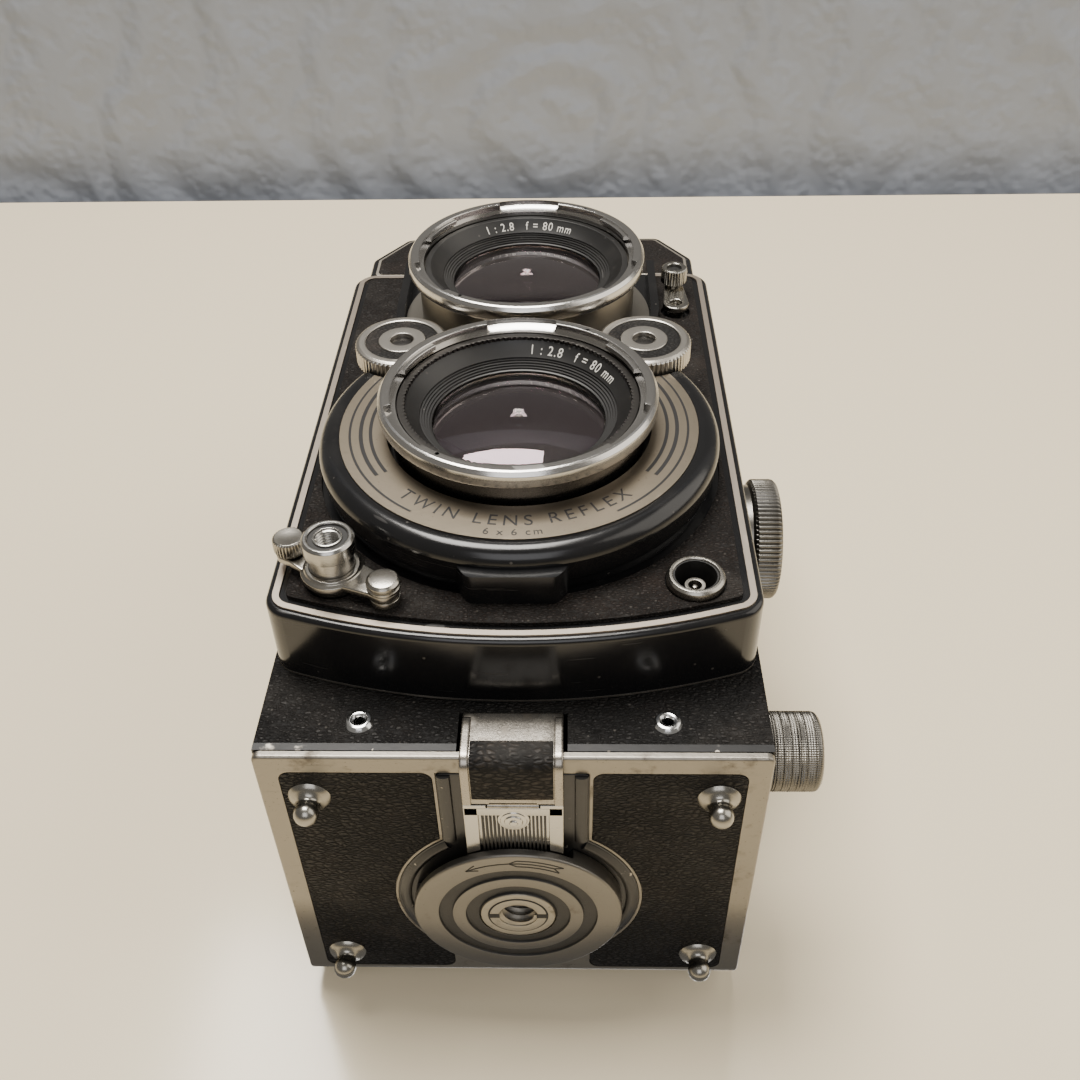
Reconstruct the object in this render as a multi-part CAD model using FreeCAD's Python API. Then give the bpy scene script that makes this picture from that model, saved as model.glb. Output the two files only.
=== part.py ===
import FreeCAD, Part
import math
import os

# Twin lens reflex camera for 6 x 6 cm pictures on roll film.
# Millimetres. +X is the focusing-knob side, -Y is out of the lenses, +Z is up
# through the viewing hood. The origin is the mouth of the tripod socket, on the
# camera's centre plane.

V = FreeCAD.Vector
os.makedirs("parts", exist_ok=True)

# ---------------------------------------------------------------- driving sizes
# Body
body_half_width = 38.0        # centre plane to the leather of one side
body_front = -36.3            # leather of the lower front
body_back = 25.5              # outer face of the back door
plate_z = 3.5                 # underside of the bottom plate, above the socket's mouth
wall = 2.0                    # casting wall
leather = 0.8                 # thickness of the body covering
door_sheet = 1.2              # thickness of the back door's sheet
door_gap = 0.2                # light-trap gap between the casting and the door
corner_r = 3.0                # rounding of the door where the bottom turns into the back
film_half = 28.0              # half the side of the picture
film_plane_y = 20.3

# Lens axes
taking_z = 56.0
bayonet_r = 22.85
lens_spacing = 2 * bayonet_r + 2.3   # the two rings stand 2.3 mm apart
viewing_z = taking_z + lens_spacing
body_top = viewing_z + 32.0   # top of the casting, where the hood stands
lens_face_y = -65.0           # front of both bayonet rings

# Lens standard
panel_half_width = body_half_width - 0.6
panel_top = viewing_z + 19.5
panel_corner_z = 20.8         # height of the lower corners
panel_bottom = 14.0           # lowest point of the bowed lower edge
panel_face_y = -49.4
panel_wall = 1.2
panel_plate = 1.6
panel_corner_r = 4.5
slide_gap = 0.3               # clearance between the standard and the sleeve
focus_travel = 7.0
trim_inset = 1.1
trim_width = 1.0
inlay_inset = 3.2
inlay_sheet = 0.7

# Lens fittings
bayonet_depth = 3.2
bayonet_bore_r = bayonet_r - 2.95
tube_r = bayonet_r - 1.85
glass_r = tube_r - 6.8
cowl_r = 33.2
face_plate_r = cowl_r - 3.6
face_plate_y = -58.2
wheel_x = bayonet_r - 1.15
wheel_z = taking_z + bayonet_r - 0.65
wheel_r = 8.4
wheel_face_y = -60.7
wheel_depth = 4.0
wheel_pocket_gap = 0.5

# Front furniture
sync_x = body_half_width - 10.7
sync_z = 26.1
sync_r = 4.45
release_x = 10.8 - body_half_width
release_z = 26.6
release_face_y = -58.7
release_travel = 2.5
timer_x = body_half_width - 8.2
timer_z = viewing_z + 2.0

# Focusing drive
focus_y = -20.0
focus_z = 70.3
focus_knob_r = 11.7
focus_knob_end = body_half_width + 10.3
focus_pitch_r = 2.0
focus_teeth = 8

# Film transport
film_spool_r = 12.5
spool_half_length = body_half_width - 5.7
lower_spool_y = -17.0
lower_spool_z = 20.4
upper_spool_y = 11.4
upper_spool_z = viewing_z - 4.7
spool_knob_r = 6.6
spool_knob_end = body_half_width + 11.2
gear_module = 0.7
crank_teeth = 44
take_up_teeth = 28
crank_y = -10.0
crank_arm_length = 24.0
roller_r = 1.8

# Bottom latch and feet
lock_ring_r = 16.9
lock_ring_disc = 1.3
tripod_core_r = 2.55          # tapping bore of a 1/4 inch, 20 per inch thread
tripod_depth = 5.5
tripod_bush_r = 4.7625        # 3/8 inch bush
foot_x = body_half_width - 7.4
foot_front_y = -26.9
foot_rear_y = 17.7
foot_ball_r = 1.95
foot_ball_drop = 2.9
latch_half_width = 7.5
latch_joint_y = -27.1
latch_top_z = 11.5
latch_sheet = 1.1

# Hood
hood_half_width = body_half_width - 3.5
hood_front = -34.5
hood_base_top = body_top + 4.2
hood_pivot_y = 21.0
hood_pivot_z = body_top + 6.4
hood_top = body_top + 14.0
hood_sheet = 0.8
hood_wall_height = 28.0
hood_wall_rear_height = 16.0
hood_flap_height = 20.0
hinge_pin_r = 0.4
hinge_tube_r = 0.9
running = 0.05                # radial clearance of the hinge pins

# Sizes that follow from the driving ones
crank_distance = gear_module * (crank_teeth + take_up_teeth) / 2
crank_z = upper_spool_z - math.sqrt(crank_distance ** 2 - (upper_spool_y - crank_y) ** 2)
cast_half = body_half_width - leather
cast_front = body_front + leather
cast_back = body_back - door_sheet - door_gap
cast_bottom = plate_z + door_sheet + door_gap
door_inner_y = body_back - door_sheet
sleeve_inset = panel_wall + slide_gap
sleeve_front_y = panel_face_y + panel_plate + 1.6
door_pivot_y = body_back - 1.1
door_pivot_z = body_top - 7.2
knuckle_r = 1.5


# ------------------------------------------------------------------ shape tools
def block(x0, x1, y0, y1, z0, z1):
    return Part.makeBox(x1 - x0, y1 - y0, z1 - z0, V(x0, y0, z0))


def rod(axis, a, b, radius, start, end):
    """A cylinder along axis; a and b are its centre in the two other axes."""
    length = end - start
    if axis == "x":
        return Part.makeCylinder(radius, length, V(start, a, b), V(1, 0, 0))
    if axis == "y":
        return Part.makeCylinder(radius, length, V(a, start, b), V(0, 1, 0))
    return Part.makeCylinder(radius, length, V(a, b, start), V(0, 0, 1))


def ring(axis, a, b, outer, inner, start, end):
    return rod(axis, a, b, outer, start, end).cut(rod(axis, a, b, inner, start - 1, end + 1))


def turned(axis, a, b, outline):
    """A lathe-turned solid. outline is a closed list of (radius, position) points;
    an entry of ("arc", middle, end) bends to its end point through its middle."""
    def at(point):
        radius, position = point
        if axis == "x":
            return V(position, a + radius, b)
        if axis == "y":
            return V(a + radius, position, b)
        return V(a + radius, b, position)

    edges = []
    here = at(outline[0])
    for entry in outline[1:] + [outline[0]]:
        if entry[0] == "arc":
            there = at(entry[2])
            edges.append(Part.Arc(here, at(entry[1]), there).toShape())
        else:
            there = at(entry)
            if (there - here).Length < 1e-6:
                continue
            edges.append(Part.LineSegment(here, there).toShape())
        here = there
    face = Part.Face(Part.Wire(edges))
    centre = {"x": V(0, a, b), "y": V(a, 0, b), "z": V(a, b, 0)}[axis]
    along = {"x": V(1, 0, 0), "y": V(0, 1, 0), "z": V(0, 0, 1)}[axis]
    return face.revolve(centre, along, 360)


def prism(points, vector):
    return Part.Face(Part.makePolygon(points + [points[0]])).extrude(vector)


def edges_along(shape, direction):
    """Straight edges of shape that run along direction."""
    found = []
    for edge in shape.Edges:
        if isinstance(edge.Curve, (Part.Line, Part.LineSegment)):
            run = edge.Vertexes[-1].Point - edge.Vertexes[0].Point
            if run.cross(direction).Length < 1e-6 * max(run.Length, 1.0):
                found.append(edge)
    return found


def rounded(shape, direction, radius):
    return shape.makeFillet(radius, edges_along(shape, direction))


def mirrored(shape):
    return shape.mirror(V(0, 0, 0), V(1, 0, 0))


def fused(shapes):
    result = shapes[0]
    for shape in shapes[1:]:
        result = result.fuse(shape)
    return result.removeSplitter()


def sag_at_half(edge_r, sag):
    """Height over the rim of a spherical face at half its edge radius."""
    sphere_r = (edge_r ** 2 + sag ** 2) / (2 * abs(sag))
    drop = sphere_r - math.sqrt(sphere_r ** 2 - edge_r ** 2 / 4)
    return math.copysign(abs(sag) - drop, sag)


def lens(axis, a, b, edge_r, rim_low, rim_high, low_sag, high_sag):
    """A glass element with spherical faces that stand out of its rim by their sags."""
    low_middle = (edge_r / 2, rim_low - sag_at_half(edge_r, low_sag))
    high_middle = (edge_r / 2, rim_high + sag_at_half(edge_r, high_sag))
    return turned(axis, a, b, [
        (0, rim_low - low_sag), ("arc", low_middle, (edge_r, rim_low)),
        (edge_r, rim_high), ("arc", high_middle, (0, rim_high + high_sag))])


def gear(y, z, teeth, module, x0, x1, phase):
    """A spur gear on an X axis; phase is the angle of the middle of its first tooth."""
    pitch_r = module * teeth / 2
    root = pitch_r - 1.25 * module
    tip = pitch_r + 0.85 * module
    step = 2 * math.pi / teeth
    points = []
    for tooth in range(teeth):
        middle = phase + tooth * step
        for radius, share in ((root, -0.32), (tip, -0.11), (tip, 0.11), (root, 0.32)):
            angle = middle + share * step
            points.append(V(x0, y + radius * math.cos(angle), z + radius * math.sin(angle)))
    return prism(points, V(x1 - x0, 0, 0))


def save(name, *solids):
    shape = solids[0] if len(solids) == 1 else Part.makeCompound(list(solids))
    shape.exportStep("parts/" + name + ".step")


# ------------------------------------------------------------- standard outline
def panel_solid(inset, y0, y1):
    """The standard's outline, moved in by inset, extruded from y0 to y1."""
    half = panel_half_width
    low_left = V(-half, y0, panel_corner_z)
    low_right = V(half, y0, panel_corner_z)
    bow = Part.Arc(low_left, V(0, y0, panel_bottom), low_right).toShape()
    sides = Part.makePolygon([low_right, V(half, y0, panel_top), V(-half, y0, panel_top), low_left])
    solid = Part.Face(Part.Wire([bow] + sides.Edges)).extrude(V(0, y1 - y0, 0))
    solid = rounded(solid, V(0, 1, 0), panel_corner_r)
    if inset == 0:
        return solid
    for face in solid.Faces:
        if face.BoundBox.YMax - y0 < 1e-6:
            outline = face
    return outline.makeOffset2D(-inset).extrude(V(0, y1 - y0, 0))


# ================================================================== body casting
spool_knob_bore = 2.1
cast = block(-cast_half, cast_half, cast_front, cast_back, cast_bottom, body_top)
cast = cast.makeFillet(corner_r - door_sheet, [e for e in edges_along(cast, V(1, 0, 0))
                       if e.BoundBox.YMax > cast_back - 0.1 and e.BoundBox.ZMin < cast_bottom + 0.1])
chamber = block(-cast_half + wall, cast_half - wall, cast_front + wall, body_back + 5,
                cast_bottom - 5, door_pivot_z + 1.8)
cast = cast.cut(chamber)
lip_z = 6.2
lip = block(-body_half_width, body_half_width, body_front, cast_back - corner_r, cast_bottom, lip_z)
lip = lip.cut(block(-cast_half + 0.5, cast_half - 0.5, cast_front + 0.5, body_back, 0, 20))
cast = cast.fuse(lip)

# The standard's opening in the front, the hood well in the top, and the notch that
# the latch hook's leg drops through when the door swings.
opening_half = body_half_width - 4.5
front_opening = block(-opening_half, opening_half, body_front - 5, cast_front + wall + 1,
                      36.0, viewing_z + 4.0)
front_opening = front_opening.fuse(rod("y", 0, viewing_z, 22.0, body_front - 5, cast_front + wall + 1))
cast = cast.cut(front_opening)
well_half = hood_half_width - 5.0
cast = cast.cut(block(-well_half, well_half, -32.5, 19.5, door_pivot_z, body_top + 1))
screen_half = well_half + 1.5
screen_sheet = 1.5
cast = cast.cut(block(-screen_half, screen_half, -34.0, 21.0, body_top - screen_sheet, body_top + 1))
notch_half = latch_half_width + 0.6
notch = block(-notch_half, notch_half, body_front - 2, cast_front + wall + 1, 0, latch_top_z + 0.5)
cast = cast.cut(notch)

# Bores for the knobs, the crank and the focusing shaft.
for y, z in ((lower_spool_y, lower_spool_z), (upper_spool_y, upper_spool_z)):
    cast = cast.cut(rod("x", y, z, spool_knob_bore, cast_half - wall - 1, body_half_width + 1))
crank_shaft_r = 2.0
focus_shaft_r = 1.6
take_up_stub_r = 1.5
inner_x = cast_half - wall - 1
cast = cast.cut(rod("x", crank_y, crank_z, crank_shaft_r + running, -body_half_width - 1, -inner_x))
cast = cast.cut(rod("x", focus_y, focus_z, focus_shaft_r + running, inner_x, body_half_width + 1))
cast = cast.cut(rod("x", upper_spool_y, upper_spool_z, take_up_stub_r + running, -cast_half + 0.4,
                    -inner_x))
guide_r = 1.8
guide_x = body_half_width - 9.0
guide_places = ((0.5 - guide_x, 32.0), (guide_x - 0.5, 32.0),
                (-guide_x, viewing_z + 12.0), (guide_x, viewing_z + 12.0))
for x, z in guide_places:
    cast = cast.cut(rod("y", x, z, guide_r + running, body_front - 1, cast_front + wall + 1))

# Bores for the strap lugs and for the flash bracket's eyelets.
strap_y = -14.0
strap_z = viewing_z + 14.0
strap_stem_r = 1.6
eyelet_x = 22.9
eyelet_z = 10.2
eyelet_hole_r = 0.75
eyelet_barrel_r = 1.4
for side in (-1, 1):
    start = min(side * (cast_half + 1), side * (cast_half - wall + 0.6))
    cast = cast.cut(rod("x", strap_y, strap_z, strap_stem_r, start, start + wall + 0.4))
    cast = cast.cut(rod("y", side * eyelet_x, eyelet_z, eyelet_barrel_r, body_front - 1,
                        cast_front + wall + 1))

# Hinge knuckles of the body, at the top of the back.
knuckle_gap = 0.15
body_knuckles = ((-30, -20), (-5, 5), (20, 30))
door_knuckles = ((-20, -5), (5, 20))
door_pin_r = 0.8
for x0, x1 in door_knuckles:
    cast = cast.cut(block(x0 - 0.01, x1 + 0.01, door_pivot_y - knuckle_r - 0.3, body_back + 5,
                          door_pivot_z - knuckle_r - 1, door_pivot_z + knuckle_r + 0.4))
for x0, x1 in body_knuckles:
    web = block(x0 + knuckle_gap, x1 - knuckle_gap, cast_back - wall, door_pivot_y,
                door_pivot_z, door_pivot_z + 3)
    knuckle = rod("x", door_pivot_y, door_pivot_z, knuckle_r, x0 + knuckle_gap, x1 - knuckle_gap)
    cast = cast.fuse(web.fuse(knuckle))
cast = cast.cut(rod("x", door_pivot_y, door_pivot_z, door_pin_r, -31, 31))
cast = cast.removeSplitter()
save("body_casting", cast)

save("door_hinge_pin", rod("x", door_pivot_y, door_pivot_z, door_pin_r, -30.4, 30.4))

# Leather on the two sides and on the lower front.
side_skin = block(cast_half, body_half_width, body_front, cast_back - 1.0, lip_z, body_top)
side_skin = side_skin.makeFillet(corner_r, [e for e in edges_along(side_skin, V(1, 0, 0))
                                 if e.BoundBox.YMin > 0 and e.BoundBox.ZMax < lip_z + 1])
skin_left = mirrored(side_skin)
skin_left = skin_left.cut(rod("x", crank_y, crank_z, 9.3, -body_half_width - 1, -cast_half + 1))
skin_right = side_skin.cut(rod("x", focus_y, focus_z, 10.9, cast_half - 1, body_half_width + 1))
for y, z in ((lower_spool_y, lower_spool_z), (upper_spool_y, upper_spool_z)):
    skin_right = skin_right.cut(rod("x", y, z, 5.4, cast_half - 1, body_half_width + 1))
lug_plate_r = 4.2
skin_right = skin_right.cut(rod("x", strap_y, strap_z, lug_plate_r + 0.05, cast_half - 1,
                                body_half_width + 1))
skin_left = skin_left.cut(rod("x", strap_y, strap_z, lug_plate_r + 0.05, -body_half_width - 1,
                              -cast_half + 1))
front_skin = block(-cast_half, cast_half, body_front, cast_front, lip_z, 35.5)
front_skin = front_skin.cut(notch)
for x, z in guide_places:
    front_skin = front_skin.cut(rod("y", x, z, guide_r + 0.3, body_front - 1, cast_front + 1))
for side in (-1, 1):
    front_skin = front_skin.cut(rod("y", side * eyelet_x, eyelet_z, eyelet_barrel_r, body_front - 1,
                                    cast_front + 1))
save("body_leather", skin_left, skin_right, front_skin)

# Two eyelets in the lower front, which take a flash bracket's pegs.
eyelets = []
for side in (-1, 1):
    eyelets.append(turned("y", side * eyelet_x, eyelet_z, [
        (eyelet_hole_r, body_front - 0.1), (1.15, body_front - 0.7),
        ("arc", (1.75, body_front - 0.62), (2.2, body_front)),
        (eyelet_barrel_r, body_front), (eyelet_barrel_r, cast_front + wall + 0.3),
        (eyelet_hole_r, cast_front + wall + 0.3)]))
save("flash_bracket_eyelets", *eyelets)

# Strap lugs: a round foot, a stem riveted through the wall, and a mushroom head.
lugs = []
for side in (-1, 1):
    lug = turned("x", strap_y, strap_z, [
        (0, cast_half - wall + 0.7), (strap_stem_r, cast_half - wall + 0.7),
        (strap_stem_r, cast_half), (lug_plate_r, cast_half),
        (lug_plate_r, body_half_width + 0.2), (1.7, body_half_width + 0.6), (1.7, body_half_width + 2.4),
        (3.3, body_half_width + 2.6), (3.3, body_half_width + 3.4), (2.8, body_half_width + 3.8),
        (0, body_half_width + 3.8)])
    lugs.append(lug if side > 0 else mirrored(lug))
save("strap_lugs", *lugs)

# ================================================== sleeve that the standard rides on
sleeve = panel_solid(sleeve_inset, sleeve_front_y, cast_front)
sleeve = sleeve.cut(panel_solid(sleeve_inset + 1.2, sleeve_front_y - 1, cast_front + 1))
sleeve = sleeve.cut(block(-60, 60, body_front, 0, 0, 36.0))
save("standard_sleeve", sleeve)

# ============================================================== nameplate housing
nameplate_y = -48.0
housing_half = hood_half_width + 0.8
housing_low = panel_top + 0.4
housing_shoulder = body_top - 3.0
housing_top = body_top + 7.0
housing_top_half = housing_half - 6.8
housing_points = [V(-housing_half, nameplate_y, housing_low), V(housing_half, nameplate_y, housing_low),
                  V(housing_half, nameplate_y, housing_shoulder),
                  V(housing_top_half, nameplate_y, housing_top),
                  V(-housing_top_half, nameplate_y, housing_top),
                  V(-housing_half, nameplate_y, housing_shoulder)]
housing = prism(housing_points, V(0, cast_front - nameplate_y, 0))
housing = rounded(housing, V(0, 1, 0), 2.4)
hollow_points = [V(p.x * 0.95, nameplate_y + 1.4, min(max(p.z, housing_low + 1.5), housing_top - 1.5))
                 for p in housing_points]
housing = housing.cut(prism(hollow_points, V(0, 20, 0)))
front_edges = [e for e in housing.Edges if abs(e.BoundBox.YMin - nameplate_y) < 0.01
               and abs(e.BoundBox.YMax - nameplate_y) < 0.01]
housing = housing.makeFillet(0.9, front_edges)
save("nameplate_housing", housing)

# ===================================================== mirror, screen and light path
mirror_y = -5.0
mirror_half_x = well_half - 0.5
mirror_half_run = 24.0        # half the mirror's run along Y
mirror_sheet = 1.2
bracket_sheet = 0.8


def tilted_plate(half_x, offset, sheet, half_run):
    """A plate at 45 degrees through the viewing axis, offset behind its face."""
    diagonal = 1 / math.sqrt(2)
    back = V(0, diagonal, -diagonal)
    run = V(0, diagonal, diagonal) * (half_run * math.sqrt(2))
    centre = V(-half_x, mirror_y, viewing_z) + back * offset
    points = [centre - run, centre + run, centre + run + back * sheet, centre - run + back * sheet]
    return prism(points, V(2 * half_x, 0, 0))


save("reflex_mirror", tilted_plate(mirror_half_x, 0, mirror_sheet, mirror_half_run))
bracket = tilted_plate(mirror_half_x + 1.5, mirror_sheet, bracket_sheet, mirror_half_run + 0.8)
for side in (-1, 1):
    x0 = mirror_half_x + 0.3 if side > 0 else -mirror_half_x - 1.5
    ear = tilted_plate(0.6, -2.0, mirror_sheet + 2.1, mirror_half_run)
    ear.translate(V(x0 + 0.6, 0, 0))
    bracket = bracket.fuse(ear)
bracket_wing = []
for side in (-1, 1):
    inner = side * (mirror_half_x + 0.9)
    outer = side * (cast_half - wall)
    wing = tilted_plate(abs(outer - inner) / 2 + 0.3, mirror_sheet, bracket_sheet, 4.0)
    wing.translate(V((inner + outer) / 2 - side * 0.3, 15.0, 15.0))
    bracket_wing.append(wing)
bracket = fused([bracket] + bracket_wing)
save("mirror_bracket", bracket)

glass_gap = 0.1
save("focusing_screen", block(-screen_half + glass_gap, screen_half - glass_gap, -34.0 + glass_gap,
                              21.0 - glass_gap, body_top - screen_sheet, body_top))

# Light tunnel and film gate, which also carries the two film rollers.
tunnel_sheet = 1.0
tunnel_front_y = -32.0
tunnel_back_y = film_plane_y - 2.0


def square_loop(half, y, z):
    return Part.makePolygon([V(-half, y, z - half), V(half, y, z - half), V(half, y, z + half),
                             V(-half, y, z + half), V(-half, y, z - half)])


def tunnel(extra):
    near = square_loop(18.0 + extra, tunnel_front_y - (0.5 if extra == 0 else 0), taking_z)
    far = square_loop(film_half + extra, tunnel_back_y + (0.01 if extra == 0 else 0), taking_z)
    return Part.makeLoft([near, far], True, True)


gate_low = taking_z - film_half - 2.0
gate_high = taking_z + film_half + 1.0
gate = block(-cast_half + wall, cast_half - wall, tunnel_back_y, film_plane_y, gate_low, gate_high)
gate = gate.fuse(tunnel(tunnel_sheet))
gate = gate.cut(tunnel(0))
gate = gate.cut(block(-film_half, film_half, tunnel_back_y - 1, film_plane_y + 1,
                      taking_z - film_half, taking_z + film_half))
roller_y = film_plane_y - roller_r - 0.1
roller_places = {"lower_film_roller": gate_low - roller_r - 0.3,
                 "upper_film_roller": gate_high + roller_r + 0.3}
roller_stub_r = 1.0
roller_half = body_half_width - 7.5
ear_in = body_half_width - 5.0
ear_out = body_half_width - 3.6
for name, z in roller_places.items():
    for side in (-1, 1):
        x0 = ear_in if side > 0 else -ear_out
        near_z = gate_low + 1 if z < taking_z else gate_high - 1
        ear = block(x0, x0 + ear_out - ear_in, roller_y - 1.7, roller_y + 1.7, min(z, near_z),
                    max(z, near_z))
        ear = ear.fuse(rod("x", roller_y, z, 1.7, x0, x0 + ear_out - ear_in))
        gate = gate.fuse(ear)
    gate = gate.cut(rod("x", roller_y, z, roller_stub_r + running, -60, 60))
save("film_gate", gate.removeSplitter())
for name, z in roller_places.items():
    save(name, turned("x", roller_y, z, [
        (0, -ear_out), (roller_stub_r, -ear_out), (roller_stub_r, -roller_half), (roller_r, -roller_half),
        (roller_r, -roller_half + 4), (roller_r - 0.4, -roller_half + 4.4),
        (roller_r - 0.4, roller_half - 4.4),
        (roller_r, roller_half - 4), (roller_r, roller_half), (roller_stub_r, roller_half),
        (roller_stub_r, ear_out), (0, ear_out)]))

# ==================================================================== lens standard
viewing_seat_r = 24.6
shroud_half = 26.2
shroud_y = -53.0
shutter_bore_r = 26.5
shell = panel_solid(0, panel_face_y, body_front - 0.2)
rim = [e for e in shell.Edges if e.BoundBox.YMax < panel_face_y + 0.01]
shell = shell.makeFillet(0.9, rim)
shell = shell.cut(panel_solid(panel_wall, panel_face_y + panel_plate, body_front + 5))
shroud = rod("y", 0, viewing_z, shroud_half, shroud_y, panel_face_y + 0.5)
shroud = shroud.fuse(block(-shroud_half, shroud_half, shroud_y, panel_face_y + 0.5, viewing_z,
                           panel_top - 1.2))
shroud_core = rod("y", 0, viewing_z, viewing_seat_r, shroud_y - 1, panel_face_y + 1)
shroud_core = shroud_core.fuse(block(-viewing_seat_r, viewing_seat_r, shroud_y - 1, panel_face_y + 1,
                                     viewing_z, panel_top + 5))
shroud = shroud.cut(shroud_core)
shroud = shroud.cut(rod("y", 0, taking_z, cowl_r + 0.3, shroud_y - 1, panel_face_y))
for side in (-1, 1):
    shroud = shroud.cut(rod("y", side * wheel_x, wheel_z, wheel_r + wheel_pocket_gap, -70, panel_face_y))
shell = shell.fuse(shroud)
shell = shell.cut(rod("y", 0, taking_z, shutter_bore_r, panel_face_y - 1, 0))
viewing_bore_r = 19.0
shell = shell.cut(rod("y", 0, viewing_z, viewing_bore_r, -60, 0))

# Bosses' holes for the small fittings that pass through the front plate.
spindle_r = 1.6
timer_pivot_r = 1.2
for side in (-1, 1):
    shell = shell.cut(rod("y", side * wheel_x, wheel_z, spindle_r + running, -60, -40))
shell = shell.cut(rod("y", timer_x, timer_z, timer_pivot_r + running, -60, -40))
release_stem_r = 2.4
shell = shell.cut(rod("y", release_x, release_z, release_stem_r + running, -60, -40))
shell = shell.cut(rod("y", sync_x, sync_z, 3.6, -60, -40))
save("standard_shell", shell.removeSplitter())

trim = panel_solid(trim_inset, panel_face_y - 0.35, panel_face_y)
trim = trim.cut(panel_solid(trim_inset + trim_width, panel_face_y - 1, panel_face_y + 1))
trim = trim.cut(block(-shroud_half, shroud_half, -60, 0, viewing_z, panel_top + 5))
save("panel_trim", trim)

panel_skin = panel_solid(inlay_inset, panel_face_y - inlay_sheet, panel_face_y)
panel_skin = panel_skin.cut(rod("y", 0, taking_z, cowl_r + 0.4, -60, 0))
panel_skin = panel_skin.cut(rod("y", 0, viewing_z, shroud_half + 0.3, -60, 0))
panel_skin = panel_skin.cut(block(-shroud_half - 0.3, shroud_half + 0.3, -60, 0, viewing_z, panel_top + 5))
for x, z, r in ((sync_x, sync_z, sync_r + 0.2), (release_x, release_z, 4.5), (timer_x, timer_z, 2.9)):
    panel_skin = panel_skin.cut(rod("y", x, z, r, -60, 0))
for side in (-1, 1):
    panel_skin = panel_skin.cut(rod("y", side * wheel_x, wheel_z, wheel_r + 0.4, -60, 0))
skin_pieces = [s for s in panel_skin.Solids if s.Volume > 5.0]
save("panel_leather", *skin_pieces)

# Pillars that guide the standard in the casting's bores.
pillar_end_y = -25.0
save("guide_pillars", *[rod("y", x, z, guide_r, panel_face_y + panel_plate, pillar_end_y)
                        for x, z in guide_places])

# ------------------------------------------------------- shutter cowl and its plate
cowl_floor_y = face_plate_y + 0.8
cowl_floor = 1.9
cowl_bore = tube_r + 1.0
shutter_y = cowl_floor_y + cowl_floor
cowl = turned("y", 0, taking_z, [
    (cowl_bore, cowl_floor_y), (face_plate_r + 0.1, cowl_floor_y), (face_plate_r + 0.1, face_plate_y + 0.1),
    ("arc", (cowl_r - 1.3, face_plate_y + 0.35), (cowl_r, face_plate_y + 2.4)),
    (cowl_r - 0.2, -54.0), ("arc", (cowl_r - 0.6, -51.5), (cowl_r - 1.4, panel_face_y)),
    (cowl_r - 5.7, panel_face_y), (cowl_r - 5.7, shutter_y), (cowl_bore, shutter_y)])
boss_y = -55.4
boss_z0 = taking_z - cowl_r - 1.6
boss_z1 = taking_z - cowl_r + 3.0
boss = prism([V(-6.6, boss_y, boss_z0), V(6.6, boss_y, boss_z0), V(9.6, boss_y, boss_z1),
              V(-9.6, boss_y, boss_z1)],
             V(0, panel_face_y - inlay_sheet - boss_y, 0))
boss = rounded(boss, V(0, 1, 0), 1.6)
boss = boss.cut(rod("y", 0, taking_z, cowl_r - 3.2, -60, 0))
cowl = cowl.fuse(boss)
cowl = cowl.cut(rod("y", 0, viewing_z, tube_r + 0.5, -70, 0))
for side in (-1, 1):
    cowl = cowl.cut(rod("y", side * wheel_x, wheel_z, wheel_r + wheel_pocket_gap, -70,
                        wheel_face_y + wheel_depth + 0.4))
    cowl = cowl.cut(rod("y", side * wheel_x, wheel_z, spindle_r + running, -70, 0))
save("shutter_cowl", max(cowl.Solids, key=lambda solid: solid.Volume))

plate = ring("y", 0, taking_z, face_plate_r, cowl_bore, face_plate_y, cowl_floor_y)
plate = plate.cut(rod("y", 0, viewing_z, tube_r + 0.5, -70, 0))
for side in (-1, 1):
    plate = plate.cut(rod("y", side * wheel_x, wheel_z, wheel_r + wheel_pocket_gap, -70, 0))
save("shutter_face_plate", max(plate.Solids, key=lambda solid: solid.Volume))

# Shutter housing, its blades and its adjusting wheels.
housing_r = cowl_r - 7.2
blade_y = -50.5
shutter_back_y = -44.0
shutter_case = turned("y", 0, taking_z, [
    (glass_r, shutter_y + 0.05), (housing_r, shutter_y + 0.05), (housing_r, shutter_back_y),
    (12.6, shutter_back_y), (12.6, blade_y + 2.0), (housing_r - 2.0, blade_y + 2.0),
    (housing_r - 2.0, blade_y - 1.0), (glass_r, blade_y - 1.0)])
save("shutter_housing", shutter_case)
blades = []
blade_count = 5
for number in range(blade_count):
    angle = 2 * math.pi * number / blade_count
    y0 = blade_y + 0.14 * number
    corners = [V(0, y0, taking_z)]
    for step in range(9):
        turn = angle + step * math.radians(80) / 8
        corners.append(V(16.0 * math.cos(turn), y0, taking_z + 16.0 * math.sin(turn)))
    blades.append(prism(corners, V(0, 0.08, 0)))
save("shutter_blades", *blades)
for name, side in (("aperture_wheel", -1), ("shutter_speed_wheel", 1)):
    x = side * wheel_x
    back = wheel_face_y + wheel_depth
    wheel = turned("y", x, wheel_z, [
        (0, wheel_face_y + 1.0), (1.9, wheel_face_y + 1.0), (1.9, wheel_face_y), (3.4, wheel_face_y),
        (3.4, wheel_face_y + 0.35), (5.9, wheel_face_y + 0.35), (5.9, wheel_face_y),
        (wheel_r - 0.5, wheel_face_y), (wheel_r, wheel_face_y + 0.5), (wheel_r, back - 0.4),
        (wheel_r - 0.4, back), (spindle_r, back), (spindle_r, panel_face_y + panel_plate + 1.2),
        (0, panel_face_y + panel_plate + 1.2)])
    save(name, wheel)

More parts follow.
